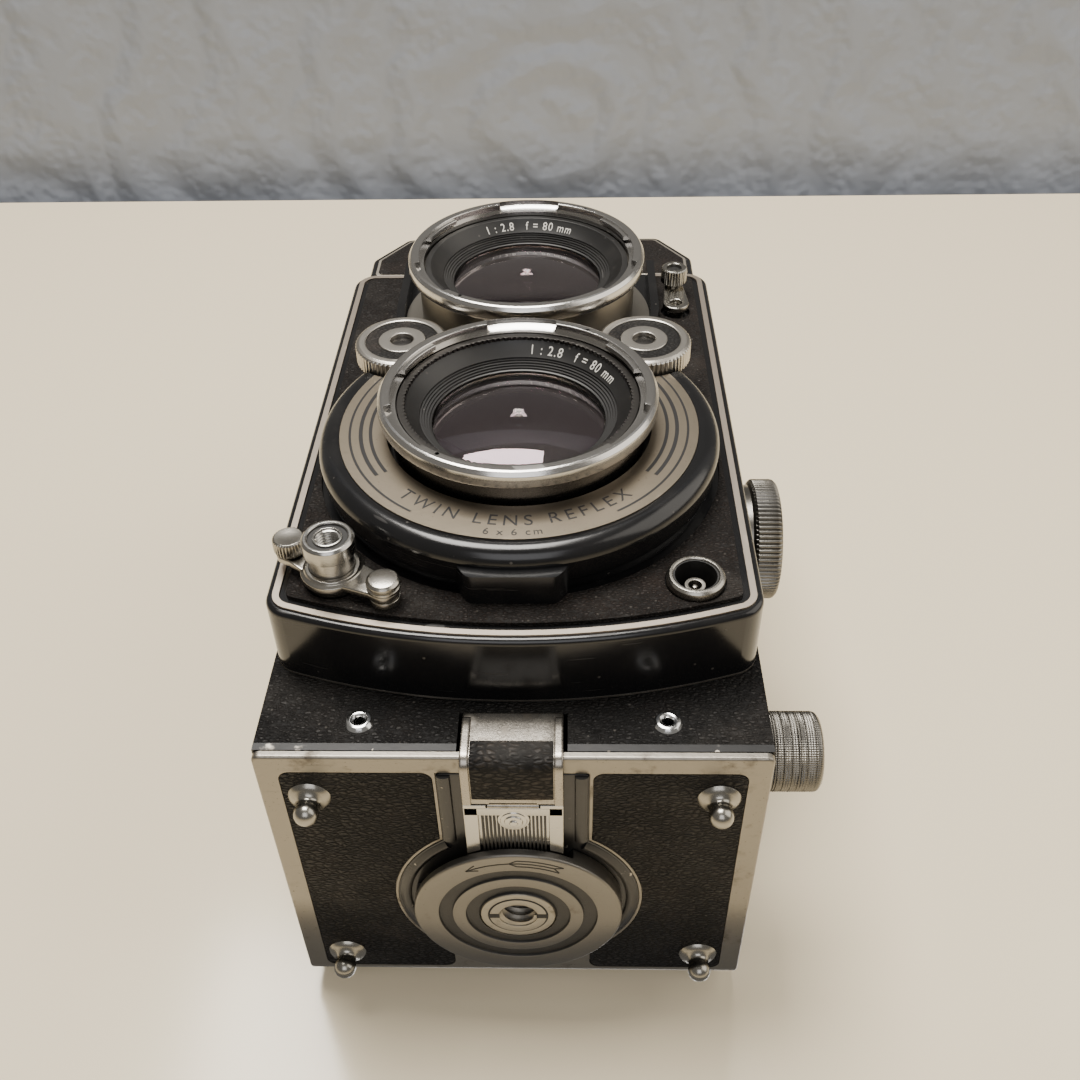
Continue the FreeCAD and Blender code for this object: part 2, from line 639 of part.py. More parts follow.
# ---------------------------------------------------------------- the two lenses
bayonet_back_y = lens_face_y + bayonet_depth
seat_r = 19.8
name_ring_front_y = -62.6
cell_floor_y = -57.5
glass_front_y = -58.6
for name, axis_z in (("taking", taking_z), ("viewing", viewing_z)):
    bayonet = turned("y", 0, axis_z, [
        (20.7, lens_face_y), (bayonet_r - 0.7, lens_face_y), (bayonet_r, lens_face_y + 0.8),
        (bayonet_r, bayonet_back_y - 0.5), (bayonet_r - 0.5, bayonet_back_y),
        (bayonet_bore_r, bayonet_back_y),
        (bayonet_bore_r, lens_face_y + 1.5), (20.7, lens_face_y + 1.5)])
    # three run-in slots for the bayonet of a filter or a hood
    for turn in (90, 210, 330):
        slot = block(-5.6, 5.6, lens_face_y - 1, lens_face_y + 1.5, 19.0, bayonet_r - 0.75)
        slot = slot.common(rod("y", 0, 0, bayonet_r - 0.9, lens_face_y - 1, lens_face_y + 2))
        slot.rotate(V(0, 0, 0), V(0, 1, 0), turn - 90)
        slot.translate(V(0, 0, axis_z))
        bayonet = bayonet.cut(slot)
    save(name + "_bayonet_ring", bayonet)
    name_ring = turned("y", 0, axis_z, [
        (18.5, name_ring_front_y), (seat_r - 0.05, name_ring_front_y), (seat_r - 0.05, cell_floor_y),
        (17.5, cell_floor_y), (glass_r + 0.15, glass_front_y + 0.2), (glass_r + 0.15, glass_front_y - 0.3)])
    save(name + "_name_ring", name_ring)
    front_glass = lens("y", 0, axis_z, glass_r, glass_front_y, glass_front_y + 2.2, 2.2, -1.0)
    rear_r = 12.4 if name == "taking" else 16.0
    rear_rim = -43.5 if name == "taking" else -50.5
    rear_glass = lens("y", 0, axis_z, rear_r, rear_rim, rear_rim + 2.5, 0.4, 1.6)
    save(name + "_lens_glasses", front_glass, rear_glass)

save("taking_retaining_ring", turned("y", 0, taking_z, [
    (18.4, lens_face_y + 1.7), (bayonet_bore_r - 0.1, lens_face_y + 1.7),
    (bayonet_bore_r - 0.1, name_ring_front_y - 0.05), (18.4, name_ring_front_y - 0.05)]))

taking_tube = turned("y", 0, taking_z, [
    (seat_r, bayonet_back_y), (tube_r, bayonet_back_y), (tube_r, shutter_y), (glass_r + 0.1, shutter_y),
    (glass_r + 0.1, cell_floor_y + 0.05), (seat_r, cell_floor_y + 0.05)])
rear_cell = ring("y", 0, taking_z, 15.0, 12.45, shutter_back_y + 0.05, -34.0)
save("taking_lens_tube", taking_tube, rear_cell)

flange_r = viewing_seat_r - 0.2
viewing_tube_end = sleeve_front_y - 0.4
viewing_tube = turned("y", 0, viewing_z, [
    (seat_r, bayonet_back_y), (tube_r, bayonet_back_y), (tube_r, panel_face_y - 1.5),
    (flange_r, panel_face_y - 1.5),
    (flange_r, panel_face_y), (viewing_bore_r - 0.1, panel_face_y),
    (viewing_bore_r - 0.1, viewing_tube_end),
    (16.1, viewing_tube_end), (16.1, -54.0), (glass_r + 0.1, -55.0), (glass_r + 0.1, cell_floor_y + 0.05),
    (seat_r, cell_floor_y + 0.05)])
collar_relief = rod("y", 0, taking_z, cowl_r + 0.3, panel_face_y - 1.6, 0)
viewing_tube = viewing_tube.cut(collar_relief.cut(rod("y", 0, viewing_z, tube_r, -60, 0)))
save("viewing_lens_tube", max(viewing_tube.Solids, key=lambda solid: solid.Volume))

# ------------------------------------------------------------ flash sync socket
sync_face_y = -51.6
sync_cup_r = 3.4
sync_floor_y = -45.6
socket = turned("y", sync_x, sync_z, [
    (sync_cup_r, sync_face_y), (sync_r - 0.25, sync_face_y), (sync_r, sync_face_y + 0.3),
    (sync_r, panel_face_y),
    (3.58, panel_face_y), (3.58, sync_floor_y + 1.0), (0, sync_floor_y + 1.0), (0, sync_floor_y),
    (sync_cup_r, sync_floor_y)])
contact = turned("y", sync_x, sync_z, [
    (0, sync_floor_y - 1.6), (0.5, sync_floor_y - 1.6), (0.5, sync_floor_y - 0.8),
    (1.0, sync_floor_y - 0.8),
    (1.0, sync_floor_y - 2.4), (1.65, sync_floor_y - 2.4), (1.65, sync_floor_y), (0, sync_floor_y)])
save("flash_sync_socket", socket, contact)

# ----------------------------------------------------- shutter release and bracket
bracket_y = -52.6
bracket_plate = 1.2
left_arm = (-7.0, 3.7)
right_arm = (8.3, -4.6)
hub_r = 4.4
skirt_r = 3.4
skirt_end_y = panel_face_y - release_travel - 0.1
hub_top_y = skirt_end_y - 1.3
collar = ring("y", release_x, release_z, 4.3, skirt_r + 0.05, bracket_y + bracket_plate, panel_face_y)


def arm(end, root_half, tip_half):
    """A tapering arm of the release bracket, from its hub to end."""
    length = math.hypot(end[0], end[1])
    along = V(end[0] / length, 0, end[1] / length)
    across = V(-along.z, 0, along.x)
    hub = V(release_x, bracket_y, release_z)
    tip = hub + along * length
    solid = prism([hub + across * root_half, hub - across * root_half,
                   tip - across * tip_half, tip + across * tip_half], V(0, bracket_plate, 0))
    return solid.fuse(rod("y", tip.x, tip.z, tip_half, bracket_y, bracket_y + bracket_plate))


bracket_hub = turned("y", release_x, release_z, [
    (skirt_r + 0.05, hub_top_y), (skirt_r + 0.6, hub_top_y), (hub_r, hub_top_y + 0.6),
    (hub_r, bracket_y + bracket_plate), (skirt_r + 0.05, bracket_y + bracket_plate)])
bracket = fused([arm(left_arm, 2.6, 2.3), arm(right_arm, 2.6, 2.3), bracket_hub])
bracket = bracket.cut(rod("y", release_x, release_z, skirt_r + 0.05, -60, -45))
left_x = release_x + left_arm[0]
left_z = release_z + left_arm[1]
right_x = release_x + right_arm[0]
right_z = release_z + right_arm[1]
bracket = bracket.cut(rod("y", right_x, right_z, 1.3, -60, -45))
knurled_screw = turned("y", left_x, left_z, [
    (0, -55.4), (2.2, -55.4), (2.55, -55.1), (2.55, bracket_y), (0, bracket_y)])
stud = turned("y", right_x, right_z, [
    (0, -54.7), (2.3, -54.7), (2.6, -54.4), (2.6, -53.7), (2.3, -53.4), (2.3, -53.2), (2.6, -53.0),
    (2.6, bracket_y),
    (1.3, bracket_y), (1.3, bracket_y + bracket_plate), (2.4, bracket_y + bracket_plate),
    (2.4, panel_face_y - inlay_sheet), (0, panel_face_y - inlay_sheet)])
save("release_bracket", bracket, collar, knurled_screw, stud)

cable_thread_r = 1.75
cable_thread_depth = 6.0
button = turned("y", release_x, release_z, [
    (cable_thread_r, release_face_y + 0.2), (2.25, release_face_y + 0.2), (2.25, release_face_y + 0.8),
    (3.2, release_face_y + 0.8), (3.2, release_face_y), (3.7, release_face_y), (3.97, release_face_y + 0.3),
    (3.97, hub_top_y - release_travel - 0.15), (skirt_r, hub_top_y - release_travel - 0.15),
    (skirt_r, skirt_end_y), (release_stem_r, skirt_end_y), (release_stem_r, -45.0), (0, -45.0),
    (0, release_face_y + 0.2 + cable_thread_depth),
    (cable_thread_r, release_face_y + 0.2 + cable_thread_depth)])
save("release_button", button)

# -------------------------------------------------------------- self-timer lever
timer_knob_z = timer_z + 7.6
timer_plate_y = -52.2
timer_sheet = 1.2
lever = prism([V(timer_x - 2.2, timer_plate_y, timer_z), V(timer_x + 2.2, timer_plate_y, timer_z),
               V(timer_x + 1.4, timer_plate_y, timer_knob_z),
               V(timer_x - 1.4, timer_plate_y, timer_knob_z)],
              V(0, timer_sheet, 0))
lever = fused([lever, rod("y", timer_x, timer_z, 2.6, timer_plate_y, timer_plate_y + timer_sheet),
               rod("y", timer_x, timer_knob_z, 1.9, timer_plate_y, timer_plate_y + timer_sheet)])
lever = lever.cut(rod("y", timer_x, timer_z, 1.3, -60, timer_plate_y + 0.6))
lever = lever.fuse(turned("y", timer_x, timer_z, [
    (0, timer_plate_y + 0.6), (1.8, timer_plate_y + 0.6), (1.8, panel_face_y - 0.05),
    (timer_pivot_r, panel_face_y - 0.05), (timer_pivot_r, -46.5), (0, -46.5)])).removeSplitter()
timer_knob = turned("y", timer_x, timer_knob_z, [
    (0, -55.6), (1.5, -55.6), (1.5, -56.0), (2.4, -56.0), (2.65, -55.7), (2.65, timer_plate_y),
    (0, timer_plate_y)])
save("self_timer_lever", lever, timer_knob)

# ----------------------------------------------------------------- focusing drive
rack_x0 = body_half_width - 7.8
rack_x1 = body_half_width - 5.2
focus_module = 2 * focus_pitch_r / focus_teeth
rack_pitch = math.pi * focus_module
pitch_z = focus_z + focus_pitch_r
rack = block(rack_x0, rack_x1, panel_face_y + panel_plate, focus_y + focus_travel + 3,
             pitch_z + 1.25 * focus_module, pitch_z + 1.25 * focus_module + 3)
for number in range(-2, 6):
    y = focus_y + (number + 0.5) * rack_pitch
    z_root = pitch_z + 1.25 * focus_module
    z_tip = pitch_z - 0.85 * focus_module
    tooth = prism([V(rack_x0, y - 0.32 * rack_pitch, z_root), V(rack_x0, y - 0.10 * rack_pitch, z_tip),
                   V(rack_x0, y + 0.10 * rack_pitch, z_tip), V(rack_x0, y + 0.32 * rack_pitch, z_root)],
                  V(rack_x1 - rack_x0, 0, 0))
    rack = rack.fuse(tooth)
save("focusing_rack", rack.removeSplitter())

pinion = gear(focus_y, focus_z, focus_teeth, focus_module, rack_x0 - 0.4, rack_x1 + 0.4, math.pi / 2)
shaft = rod("x", focus_y, focus_z, focus_shaft_r, rack_x1 + 0.4, focus_knob_end - 3.0)
save("focusing_shaft", pinion.fuse(shaft).removeSplitter())
knob_gap = 0.3
save("focusing_knob", turned("x", focus_y, focus_z, [
    (focus_shaft_r, body_half_width + knob_gap), (10.6, body_half_width + knob_gap),
    (10.6, body_half_width + 5.0),
    (11.2, body_half_width + 5.2), (focus_knob_r, body_half_width + 5.6),
    (focus_knob_r, focus_knob_end - 1.0),
    ("arc", (focus_knob_r - 0.3, focus_knob_end - 0.3), (focus_knob_r - 1.0, focus_knob_end)),
    (9.0, focus_knob_end), (8.6, focus_knob_end - 0.5), (0, focus_knob_end - 0.5),
    (0, focus_knob_end - 3.0), (focus_shaft_r, focus_knob_end - 3.0)]))

# ---------------------------------------------------------------- film transport
spindle_bore_r = 2.0
for name, y, z in (("lower_spool_knob", lower_spool_y, lower_spool_z),
                   ("upper_spool_knob", upper_spool_y, upper_spool_z)):
    save(name, turned("x", y, z, [
        (0, body_half_width - 8.4), (1.4, body_half_width - 8.4), (spindle_bore_r, body_half_width - 7.4),
        (spindle_bore_r, body_half_width + 0.3),
        (5.2, body_half_width + 0.3), (5.2, body_half_width + 1.6), (spool_knob_r, body_half_width + 2.0),
        (spool_knob_r, spool_knob_end - 0.7),
        (spool_knob_r - 0.7, spool_knob_end), (0, spool_knob_end)]))

spool_core_r = 6.4
spool_bore_r = 3.2
spool_sheet = 0.8
end_x = spool_half_length
take_up_spool = turned("x", upper_spool_y, upper_spool_z, [
    (0, -end_x + 4), (spool_bore_r, -end_x + 4), (spool_bore_r, -end_x), (film_spool_r, -end_x),
    (film_spool_r, -end_x + spool_sheet), (spool_core_r, -end_x + spool_sheet),
    (spool_core_r, end_x - spool_sheet), (film_spool_r, end_x - spool_sheet), (film_spool_r, end_x),
    (spool_bore_r, end_x), (spool_bore_r, end_x - 4), (0, end_x - 4)])

gear_x0 = 3.1 - body_half_width
gear_x1 = 4.6 - body_half_width
mesh_angle = math.atan2(upper_spool_z - crank_z, upper_spool_y - crank_y)
take_up_gear = gear(upper_spool_y, upper_spool_z, take_up_teeth, gear_module, gear_x0, gear_x1,
                    mesh_angle + math.pi + math.pi / take_up_teeth)
take_up_gear = take_up_gear.fuse(rod("x", upper_spool_y, upper_spool_z, take_up_stub_r,
                                     -cast_half + 0.6, gear_x0))
take_up_gear = take_up_gear.fuse(rod("x", upper_spool_y, upper_spool_z, spool_bore_r, gear_x1,
                                     -end_x + 2.5))
save("take_up_spool", take_up_spool, take_up_gear.removeSplitter())

crank_pin_x = -body_half_width - 4.8
crank_pin_r = 0.8
hub_disc_x = -body_half_width - 1.6
crank_hub = turned("x", crank_y, crank_z, [
    (0, gear_x0), (crank_shaft_r, gear_x0), (crank_shaft_r, -body_half_width - 0.3),
    (9.0, -body_half_width - 0.3),
    (9.0, hub_disc_x + 0.3), (8.7, hub_disc_x), (0, hub_disc_x)])
arm_half = 3.0
ear_gap = 0.15
for side in (-1, 1):
    y0 = crank_y + side * (arm_half + ear_gap)
    y1 = crank_y + side * (arm_half + ear_gap + 1.4)
    low_y = min(y0, y1)
    ear = rod("y", crank_pin_x, crank_z, 1.7, low_y, low_y + 1.4)
    ear = ear.fuse(block(crank_pin_x, hub_disc_x, low_y, low_y + 1.4, crank_z - 1.7, crank_z + 1.7))
    crank_hub = crank_hub.fuse(ear)
pin_y0 = crank_y - arm_half - ear_gap - 1.4
pin_y1 = crank_y + arm_half + ear_gap + 1.4
crank_hub = crank_hub.cut(rod("y", crank_pin_x, crank_z, crank_pin_r, pin_y0 - 1, pin_y1 + 1))
crank_gear = gear(crank_y, crank_z, crank_teeth, gear_module, gear_x0, gear_x1, mesh_angle)
crank_pin = rod("y", crank_pin_x, crank_z, crank_pin_r, pin_y0, pin_y1)
save("film_crank_hub", crank_hub.removeSplitter(), crank_gear, crank_pin)

tip_z = crank_z + crank_arm_length
arm_sheet = 2.0
crank_arm = block(crank_pin_x - arm_sheet / 2, crank_pin_x + arm_sheet / 2, crank_y - arm_half,
                  crank_y + arm_half,
                  crank_z, tip_z)
crank_arm = crank_arm.fuse(rod("x", crank_y, tip_z, arm_half + 0.6, crank_pin_x - arm_sheet / 2,
                               crank_pin_x + arm_sheet / 2))
crank_arm = crank_arm.fuse(rod("y", crank_pin_x, crank_z, 1.6, crank_y - arm_half, crank_y + arm_half))
crank_arm = crank_arm.cut(rod("y", crank_pin_x, crank_z, crank_pin_r + running, -40, 40))
handle_pin_r = 1.0
handle_end_x = -body_half_width - 1.2
handle_pin = turned("x", crank_y, tip_z, [
    (0, crank_pin_x - arm_sheet / 2 - 0.4), (1.8, crank_pin_x - arm_sheet / 2 - 0.4),
    (1.8, crank_pin_x - arm_sheet / 2), (handle_pin_r, crank_pin_x - arm_sheet / 2),
    (handle_pin_r, handle_end_x - 0.2), (0, handle_end_x - 0.2)])
crank_arm = crank_arm.cut(rod("x", crank_y, tip_z, handle_pin_r, -60, 0))
save("film_crank_arm", crank_arm.removeSplitter(), handle_pin)
handle_x0 = crank_pin_x + arm_sheet / 2 + 0.15
save("film_crank_handle", turned("x", crank_y, tip_z, [
    (handle_pin_r + running, handle_x0), (3.0, handle_x0), (3.3, handle_x0 + 0.4),
    (2.9, -body_half_width - 2.4), (3.2, handle_end_x - 0.2), (2.9, handle_end_x),
    (handle_pin_r + running, handle_end_x)]))

# ==================================================================== back door
door_edge_z = plate_z + door_sheet
door_top_z = door_pivot_z - knuckle_r - 0.3
door = prism([V(-body_half_width, body_front, plate_z), V(-body_half_width, body_back, plate_z),
              V(-body_half_width, body_back, door_top_z), V(-body_half_width, door_inner_y, door_top_z),
              V(-body_half_width, door_inner_y, door_edge_z), V(-body_half_width, body_front, door_edge_z)],
             V(2 * body_half_width, 0, 0))
outer_bend = [e for e in edges_along(door, V(1, 0, 0))
              if abs(e.BoundBox.YMax - body_back) < 0.01 and abs(e.BoundBox.ZMax - plate_z) < 0.01]
inner_bend = [e for e in edges_along(door, V(1, 0, 0))
              if abs(e.BoundBox.YMax - door_inner_y) < 0.01 and abs(e.BoundBox.ZMax - door_edge_z) < 0.01]
door = door.makeFillet(corner_r, outer_bend)
inner_bend = [e for e in edges_along(door, V(1, 0, 0))
              if abs(e.BoundBox.YMax - door_inner_y) < 0.01 and abs(e.BoundBox.ZMax - door_edge_z) < 0.01]
door = door.makeFillet(corner_r - door_sheet, inner_bend)
front_corners = [e for e in edges_along(door, V(0, 0, 1)) if e.BoundBox.YMax < body_front + 0.01]
door = door.makeFillet(1.2, front_corners)
front_lip = [e for e in edges_along(door, V(1, 0, 0))
             if e.BoundBox.YMax < body_front + 0.01 and e.BoundBox.ZMax < plate_z + 0.01]
door = door.makeFillet(0.5, front_lip)

# Recesses for the leather and for the black centre plate.
border = 3.4
recess = 0.6
inlay_gap = 0.12
insert_in = 11.8
insert_back = 22.3
keyhole_r = 20.2


def bottom_insert(side, shrink, z0, z1):
    x_in = insert_in + shrink
    x_out = body_half_width - border - shrink
    low = min(side * x_in, side * x_out)
    solid = block(low, low + x_out - x_in, body_front + border + shrink, insert_back - shrink, z0, z1)
    solid = rounded(solid, V(0, 0, 1), 1.8)
    return solid.cut(rod("z", 0, 0, keyhole_r + shrink, z0 - 1, z1 + 1))


for side in (-1, 1):
    door = door.cut(bottom_insert(side, 0, plate_z - 1, plate_z + recess))
neck = block(-insert_in + 0.4, insert_in - 0.4, body_front + border, 0, plate_z - 1, plate_z + recess)
door = door.cut(neck.fuse(rod("z", 0, 0, keyhole_r - 0.4, plate_z - 1, plate_z + recess)))
back_border = 3.0
back_recess = rounded(block(-body_half_width + back_border, body_half_width - back_border,
                            body_back - recess,
                            body_back + 1, 9.0, door_top_z - back_border), V(0, 1, 0), 2.0)
door = door.cut(back_recess)
boss_r = 6.2
door = door.cut(rod("z", 0, 0, boss_r, 0, 10))
foot_shank_r = 0.9
foot_places = [(side * foot_x, y) for side in (-1, 1) for y in (foot_front_y, foot_rear_y)]
for x, y in foot_places:
    door = door.cut(rod("z", x, y, foot_shank_r, 0, 10))
for x0, x1 in door_knuckles:
    web = block(x0 + knuckle_gap, x1 - knuckle_gap, door_inner_y, body_back, door_top_z - 0.5, door_pivot_z)
    knuckle = rod("x", door_pivot_y, door_pivot_z, knuckle_r, x0 + knuckle_gap, x1 - knuckle_gap)
    door = door.fuse(web).fuse(knuckle)
door = door.cut(rod("x", door_pivot_y, door_pivot_z, door_pin_r + running, -31, 31))
save("back_door", door.removeSplitter())

inserts = []
for side in (-1, 1):
    insert = bottom_insert(side, inlay_gap, plate_z, plate_z + recess)
    for x, y in foot_places:
        insert = insert.cut(rod("z", x, y, foot_shank_r, 0, 10))
    inserts.append(insert)
back_skin = rounded(block(-body_half_width + back_border + inlay_gap,
                          body_half_width - back_border - inlay_gap,
                          body_back - recess, body_back, 9.0 + inlay_gap,
                          door_top_z - back_border - inlay_gap), V(0, 1, 0), 1.9)
save("back_door_leather", inserts[0], inserts[1], back_skin)

# Black keyhole-shaped centre plate with raised ridges beside the latch and the ring.
ridge_z = 2.7
centre_z = 3.3
centre = block(-insert_in + 0.5, insert_in - 0.5, body_front + border + 0.1, 0, centre_z, plate_z + recess)
centre = centre.fuse(rod("z", 0, 0, keyhole_r - 0.5, centre_z, plate_z + recess))
centre = centre.fuse(ring("z", 0, 0, keyhole_r - 0.5, 18.0, ridge_z, centre_z))
for side in (-1, 1):
    low = min(side * 9.2, side * (insert_in - 0.5))
    centre = centre.fuse(block(low, low + insert_in - 9.7, body_front + border + 0.1, -14.0, ridge_z,
                               centre_z))
centre = centre.cut(ring("z", 0, 0, 18.0, 0, ridge_z - 1, centre_z))
centre = centre.cut(block(-9.2, 9.2, -40, 0, ridge_z - 1, centre_z))
centre = centre.cut(rod("z", 0, 0, boss_r, 0, 10))
save("door_centre_plate", centre.removeSplitter())

feet = []
ball_z = plate_z - foot_ball_drop
for x, y in foot_places:
    feet.append(turned("z", x, y, [
        (0, ball_z - foot_ball_r), ("arc", (foot_ball_r, ball_z), (1.45, ball_z + 1.3)),
        (1.5, ball_z + 1.75), ("arc", (2.6, ball_z + 2.15), (3.3, plate_z)), (foot_shank_r, plate_z),
        (foot_shank_r, door_edge_z), (0, door_edge_z)]))
save("feet", *feet)

# Tripod socket: a boss through the door, and a slotted 3/8 inch bush with a 1/4 inch hole.
boss = turned("z", 0, 0, [
    (tripod_bush_r, 0.1), (boss_r - 0.3, 0.1), (boss_r, 0.4), (boss_r, door_edge_z), (9.0, door_edge_z),
    (9.0, door_edge_z + 1.6), (tripod_bush_r, door_edge_z + 1.6)])
bush = turned("z", 0, 0, [
    (tripod_core_r, 0), (tripod_bush_r, 0), (tripod_bush_r, tripod_depth), (tripod_core_r, tripod_depth)])
bush = bush.cut(block(-tripod_bush_r - 1, -1.5, -0.6, 0.6, -1, 0.9))
bush = bush.cut(block(1.5, tripod_bush_r + 1, -0.6, 0.6, -1, 0.9))
save("tripod_socket", boss, bush)

# Pressure plate and its leaf spring.
press_y = film_plane_y + 0.3
press_sheet = 0.8
press = rounded(block(-31.0, 31.0, press_y, press_y + press_sheet, 27.0, 85.0), V(0, 1, 0), 2.0)
spring_y0 = press_y + press_sheet
spring_sheet = 0.25
low_spring = V(-5, spring_y0, 34.0)
high_spring = V(-5, spring_y0, 78.0)
crown = V(-5, door_inner_y - spring_sheet, taking_z)
outer_low = V(-5, spring_y0 + 0.01, 33.0)
outer_high = V(-5, spring_y0 + 0.01, 79.0)
outer_crown = V(-5, door_inner_y, taking_z)
spring = Part.Face(Part.Wire([
    Part.Arc(low_spring, crown, high_spring).toShape(),
    Part.LineSegment(high_spring, outer_high).toShape(),
    Part.Arc(outer_high, outer_crown, outer_low).toShape(),
    Part.LineSegment(outer_low, low_spring).toShape()])).extrude(V(10, 0, 0))
save("pressure_plate", press, spring)

# Lock ring: a disc with three grooved rings and a skirt with a window for the slide.
lock = turned("z", 0, 0, [
    (boss_r + 0.15, 0.1), (8.5 - 2.1, 0.1), (6.5, 0.45), (8.4, 0.45), (8.5, 0.1), (10.6, 0.1), (10.7, 0.45),
    (12.8, 0.45), (12.9, 0.1), (lock_ring_r - 0.4, 0.1), (lock_ring_r, 0.5), (lock_ring_r, centre_z - 0.2),
    (lock_ring_r - 1.3, centre_z - 0.2), (lock_ring_r - 1.3, lock_ring_disc),
    (boss_r + 0.15, lock_ring_disc)])
window = block(-latch_half_width - 1.2, latch_half_width + 1.2, -20, -6, lock_ring_disc, 4)
window_side = prism([V(0, 0, lock_ring_disc), V(0, -30, lock_ring_disc), V(-30, -30, lock_ring_disc),
                     V(-30, -9, lock_ring_disc)], V(0, 0, 4))
lock = lock.cut(window).cut(window_side)
save("lock_ring", lock)

# Latch slide, ribbed, with its stepped rivet.
slide_z0 = 1.55
slide_z1 = slide_z0 + 1.05
hook_pin_y = latch_joint_y
hook_pin_z = (slide_z0 + slide_z1) / 2
slide = block(-latch_half_width, latch_half_width, latch_joint_y + 0.25, -13.0, slide_z0, slide_z1)
slide = slide.cut(block(-5.2, 5.2, latch_joint_y + 1.9, -12.0, slide_z0 - 1, slide_z0 + 0.45))
rib_count = 17
for number in range(rib_count):
    x = -5.0 + 10.0 * (number + 0.5) / rib_count
    slide = slide.fuse(block(x - 0.16, x + 0.16, latch_joint_y + 1.9, -13.0, slide_z0 + 0.05,
                             slide_z0 + 0.5))
slide_knuckle = latch_half_width - 3.6
for side in (-1, 1):
    low = min(side * (slide_knuckle + 0.1), side * latch_half_width)
    knuckle = rod("x", hook_pin_y, hook_pin_z, 0.52, low, low + latch_half_width - slide_knuckle - 0.1)
    web = block(low, low + latch_half_width - slide_knuckle - 0.1, hook_pin_y, hook_pin_y + 0.6,
                hook_pin_z - 0.5, hook_pin_z + 0.5)
    slide = slide.fuse(knuckle.fuse(web))
slide = slide.cut(block(-slide_knuckle, slide_knuckle, latch_joint_y, latch_joint_y + 0.8, 0, 5))
slide = slide.cut(rod("x", hook_pin_y, hook_pin_z, 0.25, -10, 10))
rivet_y = -24.05
rivet_r = 2.4
slide = slide.cut(rod("z", 0, rivet_y, 1.0, 0, 5))
rivet = turned("z", 0, rivet_y, [
    (0, slide_z0 - 0.75), (0.6, slide_z0 - 0.75), (0.7, slide_z0 - 0.45), (1.35, slide_z0 - 0.45),
    (1.45, slide_z0 - 0.2), (2.0, slide_z0 - 0.2), (2.1, slide_z0 - 0.02), (rivet_r, slide_z0 - 0.02),
    (rivet_r, slide_z0 + 0.04), (1.0, slide_z0 + 0.04), (1.0, slide_z1), (0, slide_z1)])
slide = slide.cut(rod("z", 0, rivet_y, rivet_r, slide_z0 - 1, slide_z0 + 0.04))
pin = rod("x", hook_pin_y, hook_pin_z, 0.25, -latch_half_width, latch_half_width)
save("latch_slide", slide.removeSplitter(), rivet, pin)

# Hook plate: hinged to the slide, bent up in front of the body.
hook_back_y = body_front - 0.2
hook_face_y = hook_back_y - latch_sheet
hook_z0 = slide_z0 - 0.05
hook_z1 = hook_z0 + latch_sheet
hook = prism([V(-latch_half_width, latch_joint_y - 0.15, hook_z0),
              V(-latch_half_width, hook_face_y, hook_z0),
              V(-latch_half_width, hook_face_y, latch_top_z),
              V(-latch_half_width, hook_back_y, latch_top_z),
              V(-latch_half_width, hook_back_y, hook_z1),
              V(-latch_half_width, latch_joint_y - 0.15, hook_z1)],
             V(2 * latch_half_width, 0, 0))
hook_bend = [e for e in edges_along(hook, V(1, 0, 0))
             if abs(e.BoundBox.YMax - hook_face_y) < 0.01 and abs(e.BoundBox.ZMax - hook_z0) < 0.01]
hook = hook.makeFillet(2.2, hook_bend)
hook_knuckle = rod("x", hook_pin_y, hook_pin_z, 0.52, -slide_knuckle + 0.05, slide_knuckle - 0.05)
hook_web = block(-slide_knuckle + 0.05, slide_knuckle - 0.05, latch_joint_y - 0.6, latch_joint_y,
                 hook_pin_z - 0.5, hook_pin_z + 0.5)
hook = hook.cut(block(-slide_knuckle - 4, -slide_knuckle, latch_joint_y - 0.7, latch_joint_y + 1, 0, 5))
hook = hook.cut(block(slide_knuckle, slide_knuckle + 4, latch_joint_y - 0.7, latch_joint_y + 1, 0, 5))
hook = hook.fuse(hook_knuckle.fuse(hook_web))
hook = hook.cut(rod("x", hook_pin_y, hook_pin_z, 0.25 + running, -10, 10))
save("latch_hook", hook.removeSplitter())

# ========================================================================== hood
base = block(-body_half_width + 0.4, body_half_width - 0.4, cast_front + 0.2, cast_back, body_top,
             hood_base_top)
base = rounded(base, V(0, 0, 1), 3.0)
base = base.cut(block(-well_half, well_half, -31.5, 19.0, body_top - 1, hood_base_top + 1))
wall_hinge_x = well_half + 1.7
wall_hinge_z = hood_pivot_z
flap_hinge_y = -31.6
flap_hinge_z = hood_base_top + 1.1
lid_knuckles = ((-20.0, -8.0), (8.0, 20.0))
base_knuckles = ((-24.0, -20.2), (-7.8, 7.8), (20.2, 24.0))
for x0, x1 in base_knuckles:
    base = base.fuse(rod("x", hood_pivot_y, hood_pivot_z, hinge_tube_r, x0, x1))
    base = base.fuse(block(x0, x1, hood_pivot_y - 0.5, hood_pivot_y + 0.9, hood_base_top - 0.5,
                           hood_pivot_z))
wall_y0 = -30.0
wall_y1 = 15.4
pins = [rod("x", hood_pivot_y, hood_pivot_z, hinge_pin_r, -24.0, 24.0)]
for side in (-1, 1):
    for y0 in (wall_y0 - 1.3, wall_y1 + 0.2):
        ear = rod("y", side * wall_hinge_x, wall_hinge_z, hinge_tube_r, y0, y0 + 1.0)
        ear = ear.fuse(block(side * wall_hinge_x - 0.6, side * wall_hinge_x + 0.6, y0, y0 + 1.0,
                             hood_base_top - 0.5, wall_hinge_z))
        base = base.fuse(ear)
    base = base.cut(rod("y", side * wall_hinge_x, wall_hinge_z, hinge_pin_r, -40, 25))
    pins.append(rod("y", side * wall_hinge_x, wall_hinge_z, hinge_pin_r, wall_y0 - 1.3, wall_y1 + 1.2))
flap_half = well_half - 0.5
